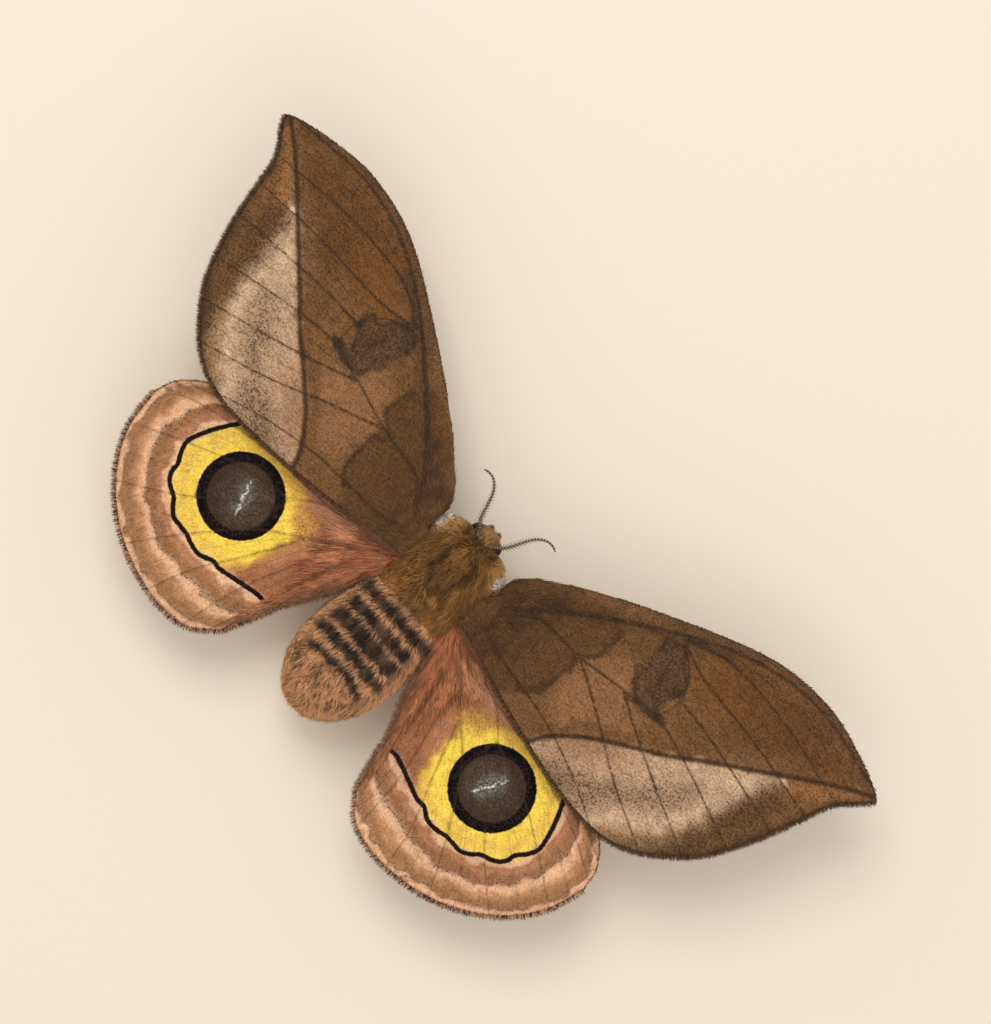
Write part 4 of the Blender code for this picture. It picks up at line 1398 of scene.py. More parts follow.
@dataclass(frozen=True)
class FurFinish:
    """Matt hair, coloured tuft by tuft, with fine grain along it.

    Attributes:
        grain: how much the hair's brightness differs.
        sheen: how strongly its edge lights up.
        skin: whether this is the skin under the coat, which then carries its own fine bump.
        strands: noise cells in a metre along each axis, for the grain of the hair.
        patches: noise cells in a metre for the broad differences.
    """

    grain: float = 0.5
    sheen: float = 0.04
    skin: bool = False
    strands: Triple = (9000.0, 2200.0, 9000.0)
    patches: float = 700.0

    def material(self, name: str) -> bpy.types.Material:
        """Make the material: the painted tint, which carries painted shade, and on tufts painted
        light, times noise, with bump from the same noise.

        Args:
            name: the material's name.

        Returns:
            The material.
        """
        n = Nodes(name)
        where = n.where()
        strands = n.noise(n.stretched(where, self.strands), 1.0, 2.0, 0.6)
        patches = n.noise(where, self.patches, 2.0)
        light = n.math("ADD", n.math("MULTIPLY", n.math("SUBTRACT", strands, 0.5), self.grain),
                       n.math("MULTIPLY", n.math("SUBTRACT", patches, 0.5), 0.3))
        colour = n.lit(n.attribute("tint", "Color"), n.math("ADD", light, 1.0))
        normal = n.bump(strands, 0.12 if self.skin else 0.03, 0.9)
        n.finish(colour, normal, Roughness=0.82, Sheen_Weight=self.sheen, Sheen_Roughness=0.45,
                 Specular_IOR_Level=0.1)
        return n.material


THORAX_END = -5.9
COAT_GAIN = 1.8  # how much brighter the hairs are than the painting, as they shade one another
SKIN_SHADE_GAIN = 0.8  # and how much darker the skin under them is painted, as painted shade under the fur


@dataclass
class Body:
    """The moth's head, thorax and abdomen: one skin under fur, and the coats over it.

    Attributes:
        stations: along the body from the front, each with y, half width, lowest and highest z.
        power: how square the cross-section is; 2 is an ellipse.
        steps: how many points the grid has along the body and round it.
        arcs: dark lines along the thorax on the right side, mirrored by the painting.
        bands: dark bands across the abdomen: the middle's y, half width, reach in x and how far
            the band bends back at its ends.
        seed: the seed of its noise.
        sheet: the skin's grid with its normals, once it is built.
    """

    stations: Marks = (
        (6.45, 0.3, 6.9, 7.8), (6.25, 0.85, 6.2, 8.4), (5.8, 1.25, 5.7, 8.9),
        (5.2, 1.45, 5.4, 9.15), (4.7, 1.75, 5.3, 9.25), (4.35, 2.5, 5.1, 9.5),
        (4.0, 3.15, 4.8, 9.95), (3.5, 3.65, 4.5, 10.5), (2.8, 4.0, 4.2, 11.1),
        (1.2, 4.4, 3.8, 11.8), (-0.8, 4.55, 3.7, 12.0), (-3.0, 4.5, 3.7, 11.6),
        (-4.8, 4.35, 3.6, 11.1), (-5.7, 4.4, 3.4, 10.95), (-8.0, 5.15, 2.6, 11.0),
        (-11.0, 5.65, 2.1, 10.95), (-14.5, 5.75, 1.9, 10.7), (-17.5, 5.25, 2.0, 10.0),
        (-20.0, 3.95, 2.6, 8.85), (-21.6, 2.3, 3.5, 7.7), (-22.35, 0.5, 4.8, 6.2))
    power: float = 2.15
    steps: tuple[int, int] = (320, 120)
    arcs: tuple[Marks, ...] = (
        ((0.25, 5.0), (1.2, 4.9), (2.0, 4.4), (2.2, 3.8)),
        ((2.1, 5.2), (2.7, 4.2), (2.9, 3.3), (3.3, 2.2), (3.7, 0.6), (3.5, -1.6)),
        ((1.0, 2.8), (1.5, 1.6), (1.3, -0.6), (0.8, -2.4)))
    bands: Marks = (
        (-7.4, 0.74, 5.0, 0.1), (-9.58, 0.72, 4.5, 0.1), (-11.6, 0.95, 4.7, 0.2),
        (-13.75, 0.64, 4.9, 0.3), (-15.6, 0.5, 4.2, 1.1))
    seed: int = 11
    sheet: Sheet = field(init=False)

    def surface(self) -> Array:
        """Loft the skin's grid.

        Each row is a superellipse, whose x and z are the cosine and the sine raised to two over
        the power, between the station's lowest and highest point. The collar's two lobes are
        bells that push the skin outwards.

        Returns:
            The points by rows and columns.
        """
        rows, columns = self.steps
        y, half, low, high = curve(self.stations, rows).T
        half = np.maximum(half, 0.05)
        turn = np.linspace(0, 2 * math.pi, columns, endpoint=False)
        c = np.sign(np.cos(turn)) * np.abs(np.cos(turn)) ** (2 / self.power)
        s = np.sign(np.sin(turn)) * np.abs(np.sin(turn)) ** (2 / self.power)
        grid = np.stack((half[:, None] * c, np.repeat(y[:, None], columns, 1),
                         (low + high)[:, None] / 2 + (high - low)[:, None] / 2 * s), axis=-1)
        for x in (-3.0, 3.0):
            away = grid - (x, 3.2, 8.6)
            bell = np.exp(-np.sum(away**2, axis=-1) / 1.7**2)
            grid += 0.8 * bell[..., None] * unit(away + (0, 0.6, 0.1))
        return grid

    def colour(self, points: Array) -> Array:
        """Give the body's colour at points, the same for the skin and for the fur's roots.

        The ground goes from olive brown on the thorax to rosy tan on the abdomen. Streaks along
        the body come from stretched noise, and bands and arcs from distances bent by noise.

        Args:
            points: body millimetres.

        Returns:
            Linear colours.
        """
        x, y, z = points.T
        streak = cloud(points, (0.32, 1.6, 0.5), self.seed)
        broad = cloud(points, (1.3, 2.2, 1.6), self.seed + 1)
        speck = cloud(points, (0.22, 0.55, 0.3), self.seed + 2)
        wander = 0.9 * (cloud(points, (0.55, 1.1, 0.7), self.seed + 3) - 0.5)
        thorax = dye(plain((124, 86, 44), len(x)), (168, 122, 64),
                     ease(0.45, 0.75, 0.65 * streak + 0.35 * broad))
        thorax = dye(thorax, (62, 41, 24), ease(0.52, 0.78, speck) * 0.7)
        flat = np.column_stack((np.abs(x) + wander * 0.3, y + wander * 0.5))
        for arc in self.arcs:
            gap = along_line(flat, curve(arc, 40))[0]
            thorax = dye(thorax, (58, 38, 24), ease(0.55, 0.15, gap) * 0.75
                         * ease(7.0, 9.0, z))
        crest = np.hypot(flat[:, 0] / 2.4, (flat[:, 1] - 3.9) / 1.5)
        thorax = dye(thorax, (84, 60, 33), ease(1.2, 0.5, crest) * 0.65)
        oval = np.hypot((flat[:, 0] - 3.6) / 1.25, (flat[:, 1] - 3.6) / 1.2)
        thorax = dye(thorax, (164, 122, 72), ease(1.2, 0.7, oval) * 0.85)
        patch = np.hypot((flat[:, 0] - 5.2) / 0.75, (flat[:, 1] - 3.2) / 1.5)
        thorax = dye(thorax, (238, 228, 212), ease(1.2, 0.75, patch))
        rear = ease(-3.6, -5.0, y + wander) * ease(1.0, 2.6, np.abs(x))
        thorax = dye(thorax, (164, 112, 56), rear * 0.7)
        rear = ease(-4.8, -5.8, y + wander) * ease(2.8, 1.4, np.abs(x))
        thorax = dye(thorax, (84, 60, 36), rear * 0.6)
        fleck = cloud(points, (0.13, 0.16, 0.13), self.seed + 4)
        head = dye(plain((140, 106, 66), len(x)), (158, 124, 80),
                   ease(1.2, 0.3, np.abs(x)) * ease(5.4, 6.2, y))
        head = dye(head, (64, 45, 30), ease(1.0, 1.6, np.abs(x)) * 0.5)
        head = dye(head, (62, 45, 30), ease(0.46, 0.58, fleck) * 0.8)
        head = dye(head, (172, 116, 62), ease(0.52, 0.72, streak) * 0.4)
        thorax = mix(thorax, head, ease(4.3, 5.0, y))
        under = ease(6.4, 4.6, z)
        thorax = dye(thorax, (128, 96, 62), under * 0.8)
        abdomen = dye(plain((184, 141, 102), len(x)), (195, 144, 104),
                      ease(0.35, 0.75, broad))
        abdomen = dye(abdomen, (136, 96, 62), ease(0.5, 0.85, streak) * 0.5)
        abdomen = dye(abdomen, (98, 72, 50), 0.5 * ease(-7.2, -6.0, y + wander)
                      * ease(3.4, 0.6, np.abs(x)))
        for middle, half, reach, bend in self.bands:
            back = middle - bend * (x / 5.0) ** 2
            gap = np.abs(y - back + wander * 0.55) - half
            band = ease(0.22, -0.15, gap) * ease(reach + 0.7, reach - 0.5, np.abs(x))
            band *= ease(5.6, 7.2, z) * (0.8 + 0.2 * ease(0.2, 0.6, streak))
            abdomen = dye(abdomen, (48, 36, 28), band)
        tail = ease(-15.8, -17.0, y) * (0.35 + 0.65 * ease(-20.2, -18.4, y))
        abdomen = dye(abdomen, (70, 50, 36), ease(0.5, 0.68, speck) * tail * 0.8
                      * ease(4.5, 6.5, z))
        abdomen = dye(abdomen, (190, 142, 102), ease(5.6, 4.2, z) * 0.7)
        return mix(abdomen, thorax, ease(THORAX_END - 0.5, THORAX_END + 0.5, y + wander))

    def lie(self, points: Array) -> Array:
        """Give the way that fur points: back and outwards, but forwards on the head.

        It changes its way in the crease behind the head, which the ruff covers, and on the face
        it turns down.

        Args:
            points: body millimetres.

        Returns:
            A vector for each point, of any length.
        """
        x, y, _ = points.T
        ahead = ease(4.5, 4.8, y)
        out = 0.15 + 0.75 * ease(1.8, 3.6, y) * (1 - ahead)
        away = np.column_stack((np.tanh(x / 1.2) * out, 2 * ahead - 1.0 + 0.01,
                                -0.12 - 1.3 * ease(5.5, 6.3, y)))
        sway = np.sin(cloud(points, (2.4, 2.4, 2.4), self.seed + 7) * 6.3)
        away[:, 0] += 0.3 * sway * ease(4.0, 3.0, y)
        return away

    def build(self) -> Piece:
        """Build the skin, closed at both ends by a point, and paint it.

        Returns:
            The skin.
        """
        grid = self.surface()
        normals = grid_normals(grid, True)
        if np.sum((grid - grid.mean(axis=1, keepdims=True)) * normals) < 0:
            normals = -normals
        self.sheet = Sheet(grid, normals, True)
        points, triangles = closed_tube(grid)
        piece = make_piece("body_skin", points, triangles, "thorax_fur",
                           FurFinish(grain=0.6, skin=True).material("body_skin_hair"))
        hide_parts("thorax", "head", "abdomen")
        # the skin's colour, darkened as painted shade under the fur
        set_values(piece, "tint", with_alpha(self.colour(points) * SKIN_SHADE_GAIN))
        return piece

    def coat(self, rng: Draw, name: str, slot: str, count: int, tuft: Tuft,
             low: float, high: float, upper: bool, dark: float) -> Piece:
        """Grow one coat over a stretch of the body.

        Args:
            rng: the random draw.
            name: the piece's name.
            slot: the name of a material slot, passed on to grow.
            count: how many tufts it has.
            tuft: how they look.
            low: the stretch's rear end.
            high: its front end.
            upper: whether it covers the back or the belly.
            dark: the share of tufts that are nearly black.

        Returns:
            The coat.
        """
        y, z = self.sheet.grid[..., 1], self.sheet.grid[..., 2]
        middle = z.mean(axis=1, keepdims=True)
        weight = ease(low - 0.3, low + 0.3, y) * ease(high + 0.3, high - 0.3, y)
        side = ease(-0.6, 0.6, (z - middle) + 1.2)
        weight *= side if upper else 1 - side
        roots = self.sheet.scatter(count, weight + FAINT, rng)
        lie = self.lie(roots.points)
        shown = roots.points + unit(lie) * (0.6 * tuft.length)
        colours = dye(self.colour(shown) * COAT_GAIN, (56, 41, 31),
                      (rng.random(count) < dark).astype(float))
        return grow(name, slot, roots, lie, tuft, colours, rng)


def tube_grid(line: Array, radii: Array, columns: int) -> Array:
    """Carry rings along a line.

    Each ring stands square to the line's slope. Its first axis is the slope crossed with a fixed
    upward vector, and its second completes the pair, so that rings don't twist.

    Args:
        line: the line's points.
        radii: the radius at each of them.
        columns: how many points a ring has.

    Returns:
        The grid of points.
    """
    slope = unit(np.gradient(line, axis=0))
    beside = unit(np.cross(slope, RING_UP))
    above = np.cross(beside, slope)
    turn = np.linspace(0, 2 * math.pi, columns, endpoint=False)[None, :, None]
    return line[:, None] + radii[:, None, None] * (
        np.cos(turn) * beside[:, None] + np.sin(turn) * above[:, None])


def closed_tube(grid: Array, start: int = 0) -> tuple[Array, Array]:
    """Close a tube's grid by a point at each end.

    Args:
        grid: rings of points.
        start: the index that the first point takes.

    Returns:
        Points and triangles.
    """
    rows, columns = grid.shape[:2]
    points = np.vstack((grid.reshape(-1, 3), grid[0].mean(axis=0), grid[-1].mean(axis=0)))
    ring = np.arange(columns)
    last = ring + (rows - 1) * columns
    caps = np.vstack((
        np.column_stack((np.full(columns, rows * columns), np.roll(ring, -1), ring)),
        np.column_stack((np.full(columns, rows * columns + 1), last, np.roll(last, -1)))))
    return points, np.vstack((grid_triangles(rows, columns, True), caps)) + start


def mirrored(points: Array, side: Side) -> Array:
    """Put right-hand points on a side."""
    return points * (side.value, 1.0, 1.0)


def tube_sheet(grid: Array, line: Array) -> Sheet:
    """Take a tube's grid as a sheet for fur, with normals that point away from its line."""
    return Sheet(grid, unit(grid - line[:, None]), True)


@dataclass(frozen=True)
class EyeFinish:
    """A dark glossy eye of many small facets.

    Attributes:
        colour: the colour in the middle of a facet.
        seam: the colour between facets.
        facets: how many facets there are in a metre.
    """

    colour: Colour = (16, 11, 9)
    seam: Colour = (34, 24, 18)
    facets: float = 9000.0

    def material(self) -> bpy.types.Material:
        """Make the material: cells of a lattice of points raised a little, under a clear gloss.

        Returns:
            The material.
        """
        n = Nodes("eye_facets")
        away = n.wire("TexVoronoi", {"Vector": n.where(), "Scale": self.facets}, "Distance")
        colour = n.blend(n.band(away, 0.2, 0.7), opaque(self.colour), opaque(self.seam))
        n.finish(colour, n.bump(n.band(away, 0.0, 0.8, 1.0, 0.0), 0.02, 0.6), Roughness=0.22,
                 Coat_Weight=0.1, Coat_Roughness=0.1, Specular_IOR_Level=0.25)
        return n.material


@dataclass
class Eye:
    """A compound eye, a ball flattened a little from front to back.

    Attributes:
        side: which side it is on.
        centre: its middle on the right side.
        radii: its half sizes.
        steps: how many rings it has and how many points a ring has.
    """

    side: Side
    centre: Triple = (1.3, 5.4, 7.15)
    radii: Triple = (0.94, 0.90, 0.94)
    steps: tuple[int, int] = (48, 72)

    def build(self) -> Piece:
        """Build the ball: the cosine and sine of two angles times the radii, closed by poles.

        Returns:
            The eye.
        """
        rows, columns = self.steps
        tilt = np.linspace(0, math.pi, rows + 2)[1:-1, None]
        turn = np.linspace(0, 2 * math.pi, columns, endpoint=False)[None, :]
        ball = np.stack(np.broadcast_arrays(np.cos(tilt), np.sin(tilt) * np.cos(turn),
                                            np.sin(tilt) * np.sin(turn)), axis=-1)
        points, triangles = closed_tube(ball * self.radii + self.centre)
        points[-2:] = self.centre + np.array(((self.radii[0], 0, 0), (-self.radii[0], 0, 0)))
        piece = make_piece(f"eye_{self.side.word}_facets", mirrored(points, self.side),
                           triangles, "eye", EyeFinish().material())
        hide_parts(f"eye_{self.side.word}")
        return piece


@dataclass(frozen=True)
class HornFinish:
    """Dark horny skin of feelers, claws and feet, with pale joints.

    Attributes:
        colour: the horn's colour.
        pale: the colour that noise brings in.
        dark: the colour of the fine specks.
        joint: the colour between two beads of a feeler.
        cells: noise cells in a metre, fine and broad.
        roughness: the surface's roughness.
    """

    colour: Colour = (70, 56, 42)
    pale: Colour = (118, 94, 68)
    dark: Colour = (40, 30, 24)
    joint: Colour = (176, 150, 118)
    cells: Pair = (7000.0, 1600.0)
    roughness: float = 0.48

    def material(self, name: str) -> bpy.types.Material:
        """Make the material from two sizes of noise.

        Args:
            name: the material's name.

        Returns:
            The material.
        """
        n = Nodes(name)
        where = n.where()
        fine = n.noise(where, self.cells[0], 3.0)
        colour = n.blend(n.band(n.noise(where, self.cells[1]), 0.35, 0.75, 0.0, 0.8),
                         opaque(self.colour), opaque(self.pale))
        colour = n.blend(n.band(fine, 0.5, 0.8, 0.0, 0.5), colour, opaque(self.dark))
        colour = n.blend(n.attribute("joint"), colour, opaque(self.joint))
        n.finish(colour, n.bump(fine, 0.02, 0.6), Roughness=self.roughness,
                 Specular_IOR_Level=0.2)
        return n.material


@dataclass
class Feeler:
    """A feeler: a tapering row of beads, with a short pair of teeth on each.

    Attributes:
        side: which side it is on.
        line: its path on the right side.
        radii: its radius at the root and near the tip.
        beads: how many joints it has.
        around: how many points a ring has.
        tooth: the half width of a tooth at its root.
    """

    side: Side
    line: Marks = ((0.75, 5.1, 8.3), (1.5, 5.8, 9.1), (2.2, 6.65, 9.7), (2.75, 8.0, 10.1),
                   (3.4, 9.4, 10.3), (4.3, 10.25, 10.4), (5.2, 10.45, 10.3), (5.95, 10.25, 10.05))
    radii: Pair = (0.22, 0.13)
    beads: int = 25
    around: int = 14
    tooth: float = 0.08

    def build(self) -> Piece:
        """Build the beads and the teeth as one piece.

        The radius falls along the line and swells once a bead by the sine's absolute value. Each
        tooth is a three-sided spike set square to the line, leaning forwards.

        Returns:
            The feeler.
        """
        rows = self.beads * 10 + 1
        line = curve(self.line, rows)
        share = np.linspace(0, 1, rows)
        bead = np.abs(np.sin(math.pi * self.beads * share))
        radii = (self.radii[0] + (self.radii[1] - self.radii[0]) * share) * (0.62 + 0.38 * bead)
        radii *= np.sqrt(np.clip((1 - share) * 30, 0.02, 1))
        points, triangles = closed_tube(tube_grid(line, radii, self.around))
        at = np.repeat(np.arange(2, self.beads - 1) * 10 + 5, 2)
        slope = unit(np.gradient(line, axis=0))[at]
        beside = unit(np.cross(slope, RING_UP))
        hand = np.tile((1.0, -1.0), len(at) // 2)[:, None]
        out = unit(beside * hand + slope * 0.55 - (0, 0, 0.2))
        length = 0.44 * np.sin(np.clip(share[at] * 3.0 + 0.5, 0, math.pi))[:, None] + 0.12
        root = line[at] + out * 0.05
        ring = [root + slope * self.tooth * math.cos(a)
                + np.cross(out, slope) * self.tooth * math.sin(a) for a in (0.0, 2.09, 4.19)]
        teeth = np.stack((*ring, root + out * length), axis=1)
        faces = repeated(np.array(((0, 2, 1), (0, 1, 3), (1, 2, 3), (2, 0, 3))), len(at))
        name = f"antenna_{self.side.word}_beads"
        piece = make_piece(name, mirrored(np.vstack((points, teeth.reshape(-1, 3))), self.side),
                           np.vstack((triangles, faces + len(points))), "antenna",
                           HornFinish().material(name))
        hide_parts(f"antenna_{self.side.word}")
        joint = np.concatenate((np.repeat(1.0 - bead, self.around), np.zeros(2 + 4 * len(teeth))))
        set_values(piece, "joint", ease(0.3, 0.8, joint))
        return piece


@dataclass
class Leg:
    """A leg: hip, thigh, shin and a foot of five joints on two claws, under short fur.

    Attributes:
        name: the first word of its node.
        side: which side it is on.
        line: hip, hip end, knee, ankle, heel and toe on the right side.
        seed: the seed of its fur.
        tufts: how many tufts it has.
    """

    name: str
    side: Side
    line: Marks
    seed: int
    tufts: int = 2300

    def path(self) -> tuple[Array, Array]:
        """Give the leg's middle line and radius.

        The line is straight between the joints, with each bend rounded by averaging. The radius
        is a bulge along the thigh and the shin and a row of five small beads along the foot.

        Returns:
            The line's points and radii.
        """
        marks = np.asarray(self.line, float)
        dense = resample(marks, 240)
        for _ in range(10):
            dense[1:-1] = (dense[:-2] + dense[1:-1] + dense[2:]) / 3
        run = np.linalg.norm(np.diff(marks, axis=0), axis=1)
        ends = np.concatenate(([0], np.cumsum(run))) / run.sum()
        share = np.linspace(0, 1, len(dense))
        knots = (0, ends[1], (ends[1] + ends[2]) / 2, ends[2] - 0.02, ends[2] + 0.02,
                 (ends[2] + ends[3]) / 2, ends[3] - 0.01, ends[3] + 0.02, ends[4], 1.0)
        radii = np.interp(share, knots, (0.7, 0.5, 0.52, 0.34, 0.3, 0.36, 0.22, 0.25, 0.23, 0.14))
        foot = np.clip((share - ends[3]) / (1 - ends[3]), 0, 1)
        radii *= np.where(foot > 0, 0.78 + 0.22 * np.abs(np.sin(5 * math.pi * foot)), 1.0)
        return dense, radii

    def claws(self, toe: Array, heading: Array) -> tuple[Array, Array]:
        """Build the two claws, each a thin cone along a curve that spreads and turns down.

        Args:
            toe: the foot's end.
            heading: the way the foot points.

        Returns:
            Points and triangles, counted from nought.
        """
        points, triangles, start = [], [], 0
        for hand in (-1.0, 1.0):
            beside = hand * np.cross(heading, (0, 0, 1.0))
            line = curve([toe - heading * 0.1, toe + heading * 0.2 + beside * 0.12,
                          toe + heading * 0.38 + beside * 0.2 - (0, 0, 0.16)], 12)
            line[:, 2] = np.maximum(line[:, 2], 0.07)
            p, t = closed_tube(tube_grid(line, np.linspace(0.075, 0.02, 12), 10), start)
            points.append(p)
            triangles.append(t)
            start += len(p)
        return np.vstack(points), np.vstack(triangles)

    def build(self) -> list[Piece]:
        """Build the leg's skin with its claws, and the fur over it.

        Returns:
            The skin and the fur.
        """
        line, radii = self.path()
        line[:, 2] = np.maximum(line[:, 2], radii)
        grid = tube_grid(line, radii, 20)
        points, triangles = closed_tube(grid)
        claws, claw_faces = self.claws(line[-1], unit(line[-1] - line[-12]))
        node = f"{self.name}_{self.side.word}"
        skin = make_piece(node + "_skin", mirrored(np.vstack((points, claws)), self.side),
                          np.vstack((triangles, claw_faces + len(points))), "leg_fur",
                          HornFinish((74, 54, 36), (112, 84, 56)).material(node + "_skin"))
        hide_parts(node)
        rng = np.random.default_rng(self.seed)
        grid, line = mirrored(grid, self.side), mirrored(line, self.side)
        weight = 1.0 - 0.45 * ease(0.62, 0.72, np.linspace(0, 1, len(line)))
        roots = tube_sheet(grid, line).scatter(self.tufts, np.tile(weight[:, None], (1, 20)), rng)
        row = (roots.uv[:, 0] * (len(line) - 1)).astype(int)
        lie = unit(np.gradient(line, axis=0))[np.clip(row, 0, len(line) - 1)]
        foot = ease(0.60, 0.70, roots.uv[:, 0])
        tone = cloud(roots.points, (0.7, 0.7, 0.7), self.seed)
        colours = dye(plain((96, 68, 42), len(lie)), (140, 106, 70),
                      ease(0.3, 0.8, tone))
        colours = dye(colours, (70, 50, 36), foot * 0.7) * 1.3
        return [skin, grow(node + "_fur", "leg_fur", roots, lie, Tuft(0.95, 0.13, 16.0), colours,
                           rng, 1.0 - 0.62 * foot)]


LEGS = (
    ("foreleg", ((0.9, 1.6, 5.2), (2.6, 2.3, 4.2), (6.4, 3.3, 5.0), (8.7, 5.4, 0.85),
                 (9.2, 5.9, 0.3), (11.5, 7.8, 0.26))),
    ("midleg", ((1.0, -0.7, 5.0), (3.2, -0.9, 4.0), (7.7, -1.1, 4.7), (10.6, -1.4, 0.85),
                (11.3, -1.5, 0.3), (14.4, -1.8, 0.26))),
    ("hindleg", ((1.0, -3.2, 5.0), (3.0, -4.1, 4.0), (6.9, -6.2, 4.4), (8.8, -9.6, 0.85),
                 (9.1, -10.4, 0.3), (10.3, -13.5, 0.26))),
)


@dataclass
class Palps:
    """A short furry palp under the face.

    Attributes:
        side: which side it is on.
        line: points along it on the right side, from its root.
        seed: the seed of its fur.
        tufts: how many tufts it has.
    """

    side: Side
    line: Marks = ((0.5, 5.3, 6.0), (0.6, 6.2, 5.95), (0.55, 6.6, 6.4))
    seed: int = 71
    tufts: int = 900

    def build(self) -> list[Piece]:
        """Build a tapering tube and the fur over it.

        Returns:
            The skin and the fur.
        """
        line = curve(self.line, 40)
        grid = mirrored(tube_grid(line, np.linspace(0.34, 0.16, 40), 20), self.side)
        name = f"palp_{self.side.word}_skin"
        skin = make_piece(name, *closed_tube(grid), "thorax_fur", HornFinish().material(name))
        rng = np.random.default_rng(self.seed)
        line = mirrored(line, self.side)
        roots = tube_sheet(grid, line).scatter(self.tufts, np.ones(grid.shape[:2]), rng)
        colours = plain((150, 116, 76), self.tufts) * 1.3
        return [skin, grow(f"palp_{self.side.word}_fur", "thorax_fur", roots,
                           np.tile(line[-1] - line[0], (self.tufts, 1)), Tuft(0.5, 0.1, 20.0),
                           colours, rng)]


@dataclass
class WingHair:
    """The hair on a wing: long hair by its root, and the fringe round its edge.

    Attributes:
        wing: the wing, already built.
        count: how many tufts the hair has.
        reach: how far from the root the hair goes, in x.
    """

    wing: Wing
    count: int
    reach: float

    def hair(self) -> Piece:
        """Grow the hair, thinning out with x, longest near the root.

        On the hindwing it also covers the stretch beside the body and the rear rim.

        Returns:
            The hair.
        """
        wing = self.wing
        hind = wing.plan.kind is WingKind.HIND
        grid = wing.grid
        rng = np.random.default_rng(wing.seed + 40)
        normals = grid_normals(grid, False)
        normals *= np.sign(normals[..., 2:3])
        x, y = np.abs(grid[..., 0]), grid[..., 1]
        weight = ease(self.reach, self.reach * 0.25, x)
        if hind:
            depth = np.linalg.norm(grid - grid[:, -1:], axis=2)
            weight = ease(13.0, 6.0, x + 0.35 * np.abs(y + 6.0))
            weight += (1.2 * ease(1.6, 0.2, depth) * ease(-4.0, -8.0, y)
                       * ease(-21.0, -17.5, y))
        roots = Sheet(grid, normals).scatter(self.count, weight + FAINT, rng)
        flat = roots.points[:, :2] * (wing.side.value, 1.0)
        colours, _ = wing.paint(flat)
        tone = cloud(flat, (0.5, 1.6), wing.seed + 41)
        warm, gain = ((160, 104, 72), 2.1) if hind else ((118, 82, 46), 1.6)
        colours = dye(colours, warm, 0.5 * ease(0.35, 0.8, tone)) * gain
        _, near, width = wing.veins(flat)
        colours = dye(colours, (92, 60, 40), 0.7 * ease(0.1, -0.06, near - width)
                      * ease(5.5, 8.5, flat[:, 0]))
        colours = dye(colours, (84, 54, 36), 0.7 * (rng.random(len(flat)) < 0.12))
        if hind:
            # the wing's own pink, brightened as painted light against the forewing's shadow
            shade = ease(-6.8, -5.2, flat[:, 1]) * ease(7.5, 10.0, flat[:, 0])
            colours = mix(colours, linear((184, 132, 98)) * 1.75, 0.7 * shade)
            rim = along_line(flat, curve(wing.plan.rear, 60))[0]
            rim = ease(1.1, 0.2, rim) * ease(-7.0, -10.0, flat[:, 1])
            colours = mix(colours, linear((112, 78, 54)) * 1.4, 0.75 * rim)
        out = np.clip((flat[:, 0] - 5.0) / self.reach, 0, 1)
        away = (flat - ((3.5, -1.5) if hind else (0.0, 0.0))) * (wing.side.value, 1.0)
        return grow(f"{wing.kind}_{wing.side.word}_hair", wing.kind + "_scales", roots,
                    np.column_stack((away, np.zeros(len(flat)))),
                    Tuft(2.5 if hind else 1.2, 0.10, 6.0, 7.0), colours, rng, 1.0 - 0.55 * out)

    def fringe(self) -> Piece:
        """Grow the fringe from the outer, rear and front edges, outwards in the wing's plane.

        Returns:
            The fringe, which is longest on the rear edge near the body.
        """
        wing = self.wing
        grid = wing.grid
        rng = np.random.default_rng(wing.seed + 60)
        middle = grid[len(grid) // 2, grid.shape[1] // 2]
        rows = []
        for number, (edge, count, scale) in enumerate(
                ((grid[-1], 900, 1.0), (grid[12:, -1], 800, 0.9), (grid[60:, 0], 260, 0.6))):
            chain = resample(edge, count)
            slope = unit(np.gradient(chain, axis=0))
            away = np.column_stack((slope[:, 1], -slope[:, 0], np.zeros(count)))
            away *= np.sign(np.sum((chain - middle) * away, axis=1).mean())
            if number == 2:
                away = away * 0.3 + slope
            near = ease(13.0, 7.0, np.abs(chain[:, 0])) * (number == 1)
            rows.append(np.column_stack((
                chain, away, np.linspace(0.01, 0.99, count),
                np.full(count, 0.2 + 0.3 * number), scale + 0.75 * near, near)))
        chain, away, uv, scale, near = np.split(
            np.repeat(np.vstack(rows), 2, axis=0), (3, 6, 8, 9), axis=1)
        total = len(chain)
        chain = chain + rng.normal(0, 0.03, (total, 3)) - unit(away) * 0.12
        normal = np.tile((0.0, 0.0, 1.0), (total, 1)) * rng.choice((-1, 1), (total, 1))
        dark = rng.random(total) < 0.42
        colours = dye(plain(wing.plan.fringe, total),
                      wing.plan.fringe_tip, dark.astype(float)) * 1.2
        colours = mix(colours, linear((122, 86, 60)) * 1.3, 0.8 * near[:, 0])
        return grow(f"{wing.kind}_{wing.side.word}_fringe", wing.kind + "_scales",
                    Roots(chain, normal, uv), away, Tuft(0.52, 0.085, 3.0, 14.0, 0.3), colours,
                    rng, scale[:, 0] * (1.0 + 0.2 * dark))

    def build(self) -> list[Piece]:
        """Build both coats."""
        return [self.hair(), self.fringe()]


